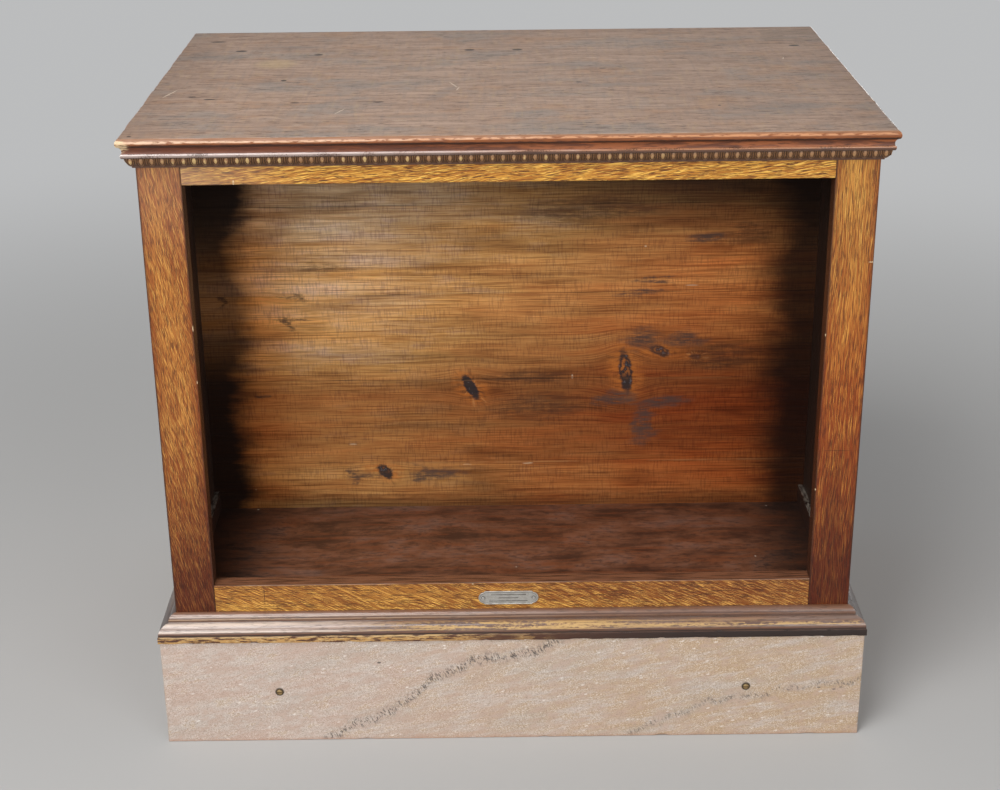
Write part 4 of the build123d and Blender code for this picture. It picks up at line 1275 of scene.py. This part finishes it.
def addStone(face):
    # rings round the shown face: its chipped arris, its outer edge and the back
    shape = stoneShape
    low, high = boxOf(f"{face}_stone_slab")
    outward = runs[face][0]
    along = Vector((0, 0, 1)).cross(outward)
    axis = 0 if abs(along.x) > 0.5 else 1
    across = 1 - axis
    outer = (low if outward[across] < 0 else high)[across]
    inner = (high if outward[across] < 0 else low)[across]
    half, tall, thick = (high[axis] - low[axis]) / 2, high[2], abs(outer - inner)
    corners = [(-half, 0.0), (half, 0.0), (half, tall), (-half, tall)]
    ring = []
    for i, corner in enumerate(corners):
        start, end = Vector(corner), Vector(corners[(i + 1) % 4])
        steps = round((end - start).length / shape["step"])
        for k in range(steps):
            place = start.lerp(end, k / steps)
            inward = Vector((start.y - end.y, end.x - start.x)).normalized()
            if k == 0:
                previous = Vector(corners[i - 1])
                inward = inward + Vector((previous.y - start.y, start.x - previous.x)).normalized()
            ring.append((place, inward))
    sizes = shape["bigChips"], shape["bigWidths"], shape["bigDepths"]
    knocks = chipsAlong(f"stone {face}", len(ring) / 2, *sizes)
    bm = newMesh()
    rows = [[], [], []]
    for k, (place, inward) in enumerate(ring):
        rough = abs(noise.noise(Vector((k * 0.37, outward.x * 9.0 + outward.y * 5.0, 2.0)))) * shape["chip"]
        cut = shape["arris"] + rough + chipDepth(knocks, k - len(ring) / 2)
        for row, (inset, depth) in zip(rows, ((cut, 0.0), (0.0, cut * shape["arrisSlope"]), (0.0, thick))):
            spot = place + inward * inset
            point = along * spot.x + outward * (abs(outer) - depth) + Vector((0, 0, spot.y))
            row.append(bm.verts.new(point * mm))
    bridge(bm, rows)
    addPiece(bm, f"{face}_stone_chipped", stoneFinish(face), f"{face}_stone_slab", 0.35)


for face in runs:
    addStone(face)
print("bookcase: stone slabs")


# plate: shouldered ends, a raised rim and plain rules

plateShape = {
    "nose": 7.2, "noseStart": 0.3, "noseSteps": 16, "shoulder": 1.7, "shoulderEnd": 1.2, "edge": 0.3,
    "rim": 1.0, "bevel": 0.4, "field": 0.45, "shade": 0.7, "rules": [(4.6, 23.0), (0.0, 13.0), (-4.6, 25.0)],
    "ruleHalf": 0.75, "ruleRise": 0.25, "ruleSink": 0.1, "ruleTaper": 0.3,
}
plateLook = {
    "bright": (0.56, 0.54, 0.50), "dull": (0.32, 0.295, 0.265), "dark": (0.05, 0.042, 0.035),
    "pinPlace": 32.85, "pinRing": 3.0,
}


def plateFinish(name, middle):
    look = plateLook
    sheet = Sheet(name, look)
    x, z = sheet.x, sheet.z
    cloud = sheet.noise(x * 0.10, z * 0.16, 3.0, 4.0, 0.6)
    fine = sheet.noise(x * 0.9, z * 1.4, 5.0, 3.0, 0.6)
    dull = cloud.stir(fine, 0.35).ease(0.36, 0.66)
    sheet.colour = sheet.tint(dull * 0.8, look["bright"], look["dull"])
    sheet.lay(sheet.carving().stir(fine, 0.3).ease(0.3, 0.9) * 0.8, "dark")
    place, ring = look["pinPlace"], look["pinRing"]
    pins = [(middle.x + s, middle.y, ring, ring) for s in (-place, place)]
    sheet.lay(sheet.marks(x, z, pins, 0.4) * 0.85, "dark")
    return sheet.surface(0.36 + dull * 0.24, fine, 0.06, {"Metallic": 0.85 - dull * 0.35})


def addPlate():
    shape = plateShape
    low, high = boxOf("plate")
    middle = Vector(((low[0] + high[0]) / 2, (low[2] + high[2]) / 2))
    half, tall, thick = (high[0] - low[0]) / 2, (high[2] - low[2]) / 2, high[1] - low[1]
    straight = half - shape["nose"]
    noseTop = tall - shape["shoulder"]
    noseStart, shoulderEnd = straight + shape["noseStart"], straight - shape["shoulderEnd"]
    nose = arcPoints((noseStart, -noseTop), (half, 0.0), (noseStart, noseTop), shape["noseSteps"])
    right = [(shoulderEnd, -tall)] + nose + [(shoulderEnd, tall)]
    outline = right + [(-u, -v) for u, v in right]
    normals = outlineNormals(outline)
    bm = newMesh()
    carve = bm.verts.layers.float["carve"]

    def point(u, v, rise, carved=0.0):
        vert = bm.verts.new(Vector((middle.x + u, high[1] - rise, middle.y + v)) * mm)
        vert[carve] = carved
        return vert

    inset = shape["edge"] + shape["rim"]
    floor, sunk = thick - shape["field"], inset + shape["bevel"]
    edge = shape["edge"]
    levels = [(0.0, 0.0, 0.6), (0.0, thick - edge, 0.4), (edge, thick, 0.0), (inset, thick, 0.0)]
    levels += [(sunk, floor, 1.0), (sunk + shape["shade"], floor, 0.25)]
    rings = []
    for shrink, rise, carved in levels:
        spots = [(u - n.x * shrink, v - n.y * shrink) for (u, v), n in zip(outline, normals)]
        rings.append([point(u, v, rise, carved) for u, v in spots])
    bridge(bm, rings)
    for v, length in shape["rules"]:
        foot = length, shape["ruleHalf"], floor - shape["ruleSink"], 0.9
        head = length - shape["ruleTaper"], shape["ruleHalf"] / 2, floor + shape["ruleRise"], 0.8
        steps = []
        for a, b, rise, carved in (foot, head):
            steps.append([point(u, v + d, rise, carved) for u, d in ((-a, -b), (a, -b), (a, b), (-a, b))])
        bridge(bm, steps)
    addPiece(bm, "plate_rimmed", plateFinish("dull_nickel", middle), "plate")


addPlate()
print("bookcase: plate")


# floor, lights and camera

stageLook = {
    "floor": (0.47, 0.465, 0.455), "far": (0.50, 0.505, 0.51), "size": 16.0, "sky": (0.80, 0.81, 0.83),
    "skyLevel": 0.45, "nearEnd": 900.0, "farStart": 3000.0,
}
lampLook = {
    "key": ((-1.5, -3.2, 1.75), (1.8, 1.4), 60.0),
    "fill": ((1.9, -3.3, 1.5), (2.2, 1.6), 38.0),
    "overhead": ((-0.75, -1.45, 3.0), (1.3, 1.2), 46.0),
    "rear": ((0.7, 3.6, 0.55), (2.6, 0.8), 42.0),
}
cameraLook = {
    "focus": 1782.79, "imageWidth": 1000.0, "sensor": 36.0,  # focus in pixels of the photograph's frame
    "spot": (-0.02065, -2.3298, 1.34386), "pitch": 0.3977, "roll": 0.0104, "yaw": 0.0038,
}


def addLamps(aim):
    for name, (spot, size, power) in lampLook.items():
        lamp = bpy.data.lights.new(name, "AREA")
        lamp.shape = "RECTANGLE"
        lamp.size, lamp.size_y = size
        lamp.energy = power
        holder = addObject(name, lamp)
        holder.location = spot
        holder.rotation_euler = (Vector(aim) - Vector(spot)).to_track_quat("-Z", "Y").to_euler()
        holder.visible_camera = False


def addCamera():
    pitch, roll, yaw = (cameraLook[key] for key in ("pitch", "roll", "yaw"))
    forward = Vector((math.cos(pitch) * math.sin(yaw), math.cos(pitch) * math.cos(yaw), -math.sin(pitch)))
    right = Vector((math.cos(yaw), -math.sin(yaw), 0.0))
    up = right.cross(forward)
    turnedRight = right * math.cos(roll) - up * math.sin(roll)
    turnedUp = right * math.sin(roll) + up * math.cos(roll)
    camera = bpy.data.cameras.new("camera")
    camera.sensor_fit = "HORIZONTAL"
    camera.sensor_width = cameraLook["sensor"]
    camera.lens = cameraLook["focus"] / cameraLook["imageWidth"] * cameraLook["sensor"]
    holder = addObject("camera", camera)
    columns = Matrix((turnedRight, turnedUp, -forward)).transposed()
    holder.matrix_world = Matrix.Translation(cameraLook["spot"]) @ columns.to_4x4()
    bpy.context.scene.camera = holder


def seenRays(sheet):
    # 1 where the camera sees a place, straight or in a gloss
    kinds = ("Camera", "Glossy", "Transmission")
    straight, gloss, through = (sheet.node("ShaderNodeLightPath", out=f"Is {kind} Ray") for kind in kinds)
    return straight | gloss | through


def addFloor():
    # plain floor that keeps the shadow near the case and is evenly pale further off
    look = stageLook
    sheet = Sheet("pale_floor")
    away = (sheet.x * sheet.x + sheet.y * sheet.y).root()
    lit = sheet.node("ShaderNodeBsdfDiffuse", {}, {"Color": (*look["floor"], 1.0)})
    plain = sheet.node("ShaderNodeEmission", {}, {"Color": (*look["far"], 1.0)})
    share = away.ease(look["nearEnd"], look["farStart"]) * seenRays(sheet)
    mix = sheet.node("ShaderNodeMixShader", {}, {0: share, 1: lit, 2: plain})
    sheet.node("ShaderNodeOutputMaterial", {}, {0: mix})
    half = look["size"] / 2
    corners = [(-half, -half, 0), (half, -half, 0), (half, half, 0), (-half, half, 0)]
    mesh = bpy.data.meshes.new("floor")
    mesh.from_pydata(corners, [], [(0, 1, 2, 3)])
    mesh.materials.append(sheet.finish)
    floor = addObject("floor", mesh)


def addWorld():
    look = stageLook
    world = bpy.data.worlds.new("studio")
    bpy.context.scene.world = world
    sheet = Sheet(world)
    lit = sheet.node("ShaderNodeBackground", {}, {"Color": (*look["sky"], 1.0), "Strength": look["skyLevel"]})
    plain = sheet.node("ShaderNodeBackground", {}, {"Color": (*look["far"], 1.0), "Strength": 1.0})
    mix = sheet.node("ShaderNodeMixShader", {}, {0: seenRays(sheet), 1: lit, 2: plain})
    sheet.node("ShaderNodeOutputWorld", {}, {0: mix})


addFloor()
addLamps((0.0, 0.0, 0.45))
addWorld()
addCamera()
bpy.context.scene.view_settings.view_transform = "Standard"
print("bookcase: stage set")
